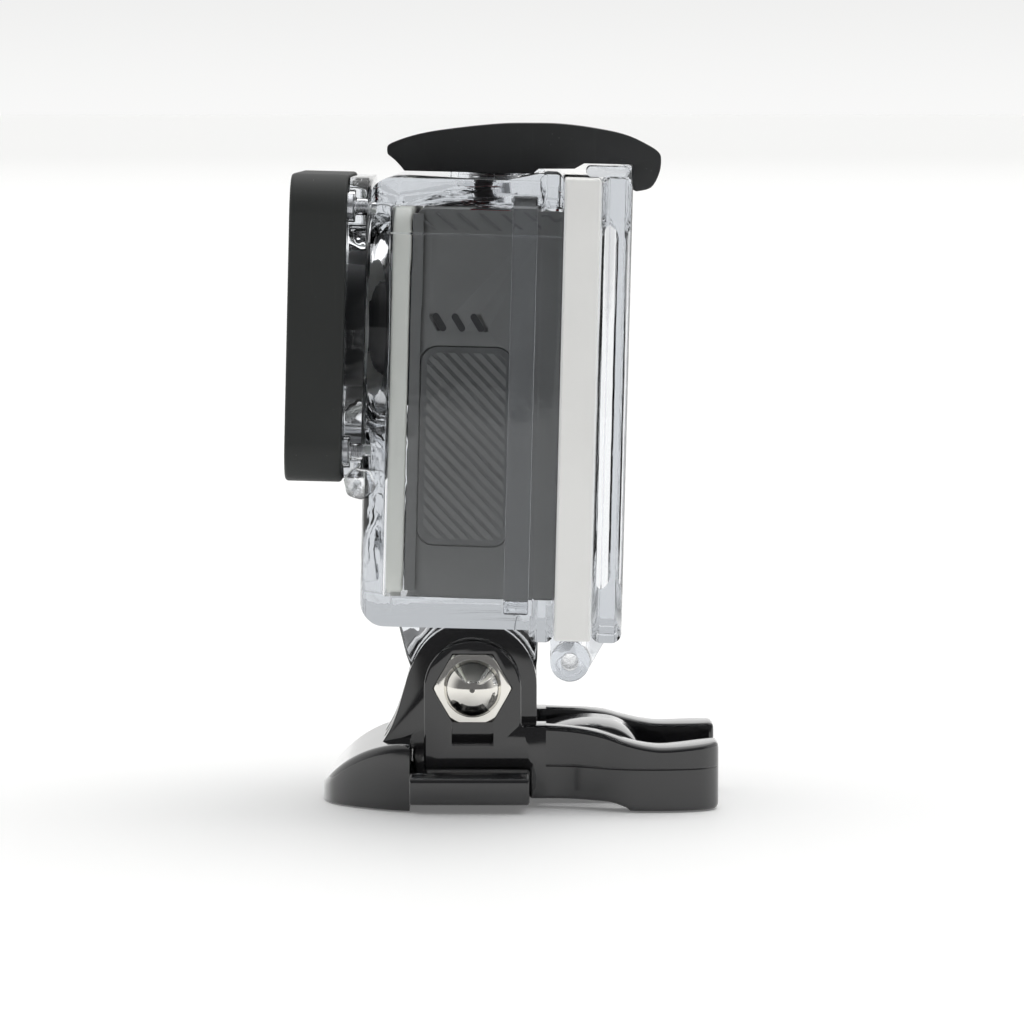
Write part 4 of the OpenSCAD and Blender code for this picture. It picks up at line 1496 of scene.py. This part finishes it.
@dataclass
class ActionCamera:
    """The camera that the housing holds."""

    palette: Palette

    def build(self) -> None:
        """Dresses every piece of the camera."""
        p = self.palette
        dress(skin_of("camera_body", "camera_casing", 0.25, 2), p.casing, "cam_grey", "housing")
        dress(skin_of("front_plate", "front_plate_skin", 0.4, 3), p.plate, "plate_white", "housing")
        self.corner_bars()
        self.side_door()
        # The ribbed band takes the darker copy of the camera grey, which is painted shade.
        self.side_ribs("top_band_ribs", "camera_body", (-6.4, 53.9), (8.6, 55.8), 2.5, 0.1, p.shade)
        self.sound_slots()
        dress(skin_of("lens_barrel", "lens_barrel_skin", 0.2, 2), p.black, "black_plastic", "housing")
        for node, finish in {
                "lens_cover": p.lens, "lens_group": p.lens, "image_sensor": p.board, "main_board": p.board,
                "heat_spreader": p.alloy, "battery": p.cell, "battery_door": p.casing,
                "memory_card": p.black, "speaker": p.black, "rear_screen": p.screen,
                "status_display": p.screen, "camera_shutter_button": p.red,
                "camera_power_button": p.black, "camera_mode_button": p.black}.items():
            refinish(node, finish)

    def side_door(self) -> None:
        """The door over the sockets, a flat plate with round corners and slanting ribs."""
        low, high = SPACE.box("side_door")
        outline = rounded_rect((low.y, low.z), (high.y, high.z), 1.9)
        plate = plain_object("side_door_plate", prism(outline, low.x, high.x - 0.15), SPACE.to_row)
        bevelled(plate, 0.12, 3)
        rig.replaces(plate, "side_door")
        # The plate takes the darker copy of the camera grey, which is painted shade between the lighter ribs.
        dress(plate, self.palette.shade, "cam_grey", "housing")
        self.side_ribs("side_door_ribs", "side_door", (low.y + 0.7, low.z + 0.7),
                       (high.y - 0.7, high.z - 0.7), 1.45, 0.0, self.palette.casing)

    def corner_bars(self) -> None:
        """The square front corners of the casing, behind the plate."""
        low, high = SPACE.box("camera_body")
        rear = SPACE.box("side_door")[0].y - 0.1
        width, short = 3.0, 0.6
        bars = [solid_box((x, low.y + 0.01, low.z + short), (x + width, rear, high.z - short))
                for x in (high.x - width, low.x)]
        piece = plain_object("casing_corner_bars", joined(bars), SPACE.to_row)
        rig.replaces(piece, "camera_body")
        dress(piece, self.palette.casing, "cam_grey", "housing")

    def sound_slots(self) -> None:
        """Three slanting slots before the speaker."""
        face = SPACE.box("camera_body")[1].x
        slant = Matrix.Rotation(math.radians(33), 4, "X")
        slot = plain_object("sound_slots", solid_box((-0.4, -0.38, -1.15), (0.4, 0.38, 1.15), slant),
                            Matrix.Identity(4))
        bevelled(slot, 0.38 / MM, 4)
        field_shape = solid_box((face - 0.5, -6.5, 41.5), (face + 0.02, 2.5, 45.5))
        REPEATER.repeat(slot, Layout.ROW, SPACE.to_row, self.palette.black, 3, (face, -4.45, 43.5),
                        (0.0, 2.15, 0.0), field_shape)
        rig.replaces(slot, "camera_body")
        dress(slot, self.palette.black, "black_plastic", "housing")

    def side_ribs(self, name: str, node: str, low: Point2, high: Point2, pitch: float, height: float,
                  finish: bpy.types.Material) -> None:
        """Slanting ribs on the camera's side, trimmed to a round-cornered field.

        Args:
            name: Name of the piece.
            node: CAD node to which they belong.
            low: Lowest corner (y, z) of the field.
            high: Highest corner of the field.
            pitch: Distance between ribs along the field's height or length.
            height: How far the ribs stand out.
            finish: Their finish.
        """
        face = SPACE.box("camera_body")[1].x
        tall = high[1] - low[1] > high[0] - low[0]
        length = 1.5 * min(high[1] - low[1], high[0] - low[0])
        slant = Matrix.Rotation(math.radians(-45 if tall else -40), 4, "X")
        thick = 0.3 if tall else 0.14
        bar = solid_box((-0.5, -length, -thick), (0.5, length, thick), slant)
        run = (high[1] - low[1] if tall else high[0] - low[0]) + length
        count = int(run / pitch)
        middle = Vector((face, (low[0] + high[0]) / 2, (low[1] + high[1]) / 2))
        way = Vector((0, 0, pitch)) if tall else Vector((0, pitch, 0))
        field_shape = prism(rounded_rect(low, high, min(1.4, 0.45 * min(high[1] - low[1], 3.0))),
                            face - 0.3, face + height)
        ribs = plain_object(name, bar, Matrix.Identity(4))
        REPEATER.repeat(ribs, Layout.ROW, SPACE.to_row, finish, count,
                        middle - way * ((count - 1) / 2), way, field_shape)
        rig.replaces(ribs, node)
        dress(ribs, finish, "cam_grey", "housing")


# ---------------------------------------------------------------- studio

@dataclass
class Studio:
    """A pale floor with a painted glow near the object and painted shade behind the viewer, a surround, soft light and
    the camera.
    """

    eye: Vector = field(default_factory=lambda: Vector((0.61728, 0.00861, 0.08172)))
    yaw: float = -0.00658
    pitch: float = 0.0774
    lens: float = 183.19
    floor_reach: float = 60.0
    floor_drop: float = 0.0002
    # Strength of the painted glow that the floor gives off near the object, which lightens the shadow under it.
    floor_glow: float = 0.14
    floor_near: tuple[float, float, float] = (0.93, 0.93, 0.925)
    floor_far: tuple[float, float, float] = (0.9, 0.9, 0.893)
    # Painted shade: the dark colour that the floor takes behind the viewer, and the distance along X where it begins.
    floor_painted_shade: tuple[float, float, float] = (0.05, 0.05, 0.05)
    painted_shade_from: float = 0.68
    sun_strength: float = 0.95
    sun_spread: float = 70.0
    sky_low: tuple[float, float, float] = (0.945, 0.945, 0.94)
    sky_high: tuple[float, float, float] = (0.86, 0.86, 0.855)
    room: tuple[float, float, float] = (0.16, 0.16, 0.165)

    def build(self) -> None:
        """Builds the floor, the lights, the world and the camera."""
        self.floor()
        self.world()
        sun = bpy.data.lights.new("soft_top", "SUN")
        sun.energy = self.sun_strength
        sun.angle = math.radians(self.sun_spread)
        lamp = bpy.data.objects.new("soft_top", sun)
        lamp.rotation_euler = (math.radians(-12), math.radians(-14), 0)
        bpy.context.scene.collection.objects.link(lamp)
        self.view()

    def view(self) -> None:
        """Sets the camera and the limits of the light's path."""
        camera = bpy.data.objects.new("view_camera", bpy.data.cameras.new("view_camera"))
        camera.data.lens = self.lens
        camera.data.sensor_width = 36.0
        camera.data.clip_start = 0.01
        camera.data.clip_end = 200.0
        camera.location = self.eye
        look = Vector((-math.cos(self.pitch) * math.cos(self.yaw),
                       math.cos(self.pitch) * math.sin(self.yaw), -math.sin(self.pitch)))
        camera.rotation_euler = look.to_track_quat("-Z", "Y").to_euler()
        bpy.context.scene.collection.objects.link(camera)
        scene = bpy.context.scene
        scene.camera = camera
        scene.view_settings.view_transform = "Standard"
        scene.cycles.max_bounces = 24
        scene.cycles.transmission_bounces = 20
        scene.cycles.glossy_bounces = 8
        scene.cycles.transparent_max_bounces = 24
        scene.cycles.use_denoising = True

    def floor(self) -> None:
        """The wide pale floor, a little darker far off, with a painted glow near the object that lightens the shadow
        under it, and painted shade that turns it dark behind the viewer.
        """
        bm = bmesh.new()
        bmesh.ops.create_circle(bm, cap_ends=True, segments=96, radius=self.floor_reach)
        floor = plain_object("pale_floor", bm, Matrix.Translation((0, 0, -self.floor_drop)))
        material = bpy.data.materials.new("pale_floor")
        material.use_nodes = True
        shader = material.node_tree.nodes["Principled BSDF"]
        nodes = Nodes(material.node_tree)
        reach = nodes.add("ShaderNodeVectorMath", operation="LENGTH")
        place = nodes.add("ShaderNodeTexCoord").outputs["Object"]
        nodes.link(place, reach.inputs[0])
        far = nodes.ramp(reach.outputs["Value"], 0.8, 9.0)
        split = nodes.add("ShaderNodeSeparateXYZ")
        nodes.link(place, split.inputs[0])
        # Painted shade: the mask of the floor behind the viewer, where its colour turns dark.
        painted_shade_mask = nodes.ramp(split.outputs["X"], self.painted_shade_from, self.painted_shade_from + 0.25)
        sheet = nodes.mix(far, self.floor_near, self.floor_far)
        nodes.link(nodes.mix(painted_shade_mask, sheet, self.floor_painted_shade), shader.inputs["Base Color"])
        # Painted glow: the floor gives off light near the object, which lightens the shadow under it, and fades out far
        # away and behind the viewer.
        lit = nodes.math("MULTIPLY", nodes.math("SUBTRACT", 1.0, far), nodes.math("SUBTRACT", 1.0, painted_shade_mask))
        nodes.link(nodes.math("MULTIPLY", lit, self.floor_glow), shader.inputs["Emission Strength"])
        shader.inputs["Roughness"].default_value = 0.6
        shader.inputs["Specular IOR Level"].default_value = 0.15
        shader.inputs["Emission Color"].default_value = (1, 1, 1, 1)
        floor.data.materials.append(material)
        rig.stage(floor)

    def world(self) -> None:
        """A pale surround, dimmer and darker low down on the viewer's side."""
        world = bpy.data.worlds.new("studio")
        bpy.context.scene.world = world
        world.use_nodes = True
        nodes = Nodes(world.node_tree)
        way = nodes.add("ShaderNodeSeparateXYZ")
        nodes.link(nodes.add("ShaderNodeTexCoord").outputs["Generated"], way.inputs[0])
        near = nodes.ramp(way.outputs["X"], -0.25, 0.6)
        low = nodes.math("SUBTRACT", 1.0, nodes.ramp(way.outputs["Z"], 0.45, 0.8))
        dim = nodes.math("MULTIPLY", near, low)
        sky = nodes.mix(nodes.ramp(way.outputs["Z"], -0.004, 0.03), self.sky_low, self.sky_high)
        nodes.link(nodes.mix(dim, sky, self.room), world.node_tree.nodes["Background"].inputs[0])


def main() -> None:
    """Builds the object and the studio, and reports each step."""
    logging.basicConfig(level=logging.INFO, format="%(name)s: %(message)s", stream=sys.stdout)
    palette = Palette()
    for part in (Buckle(palette), Housing(palette), ActionCamera(palette), Studio()):
        part.build()
        log.info("built %s", type(part).__name__)
    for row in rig.table()["pieces"]:
        log.info("piece %s rides %s", row["piece"], row["bodies"])
    with open("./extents.json", "w") as out:
        json.dump({"cad": [list(c) for c in CAD_BOX], "visual": [list(c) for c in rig.bounds()]}, out)


if __name__ == "__main__":
    main()
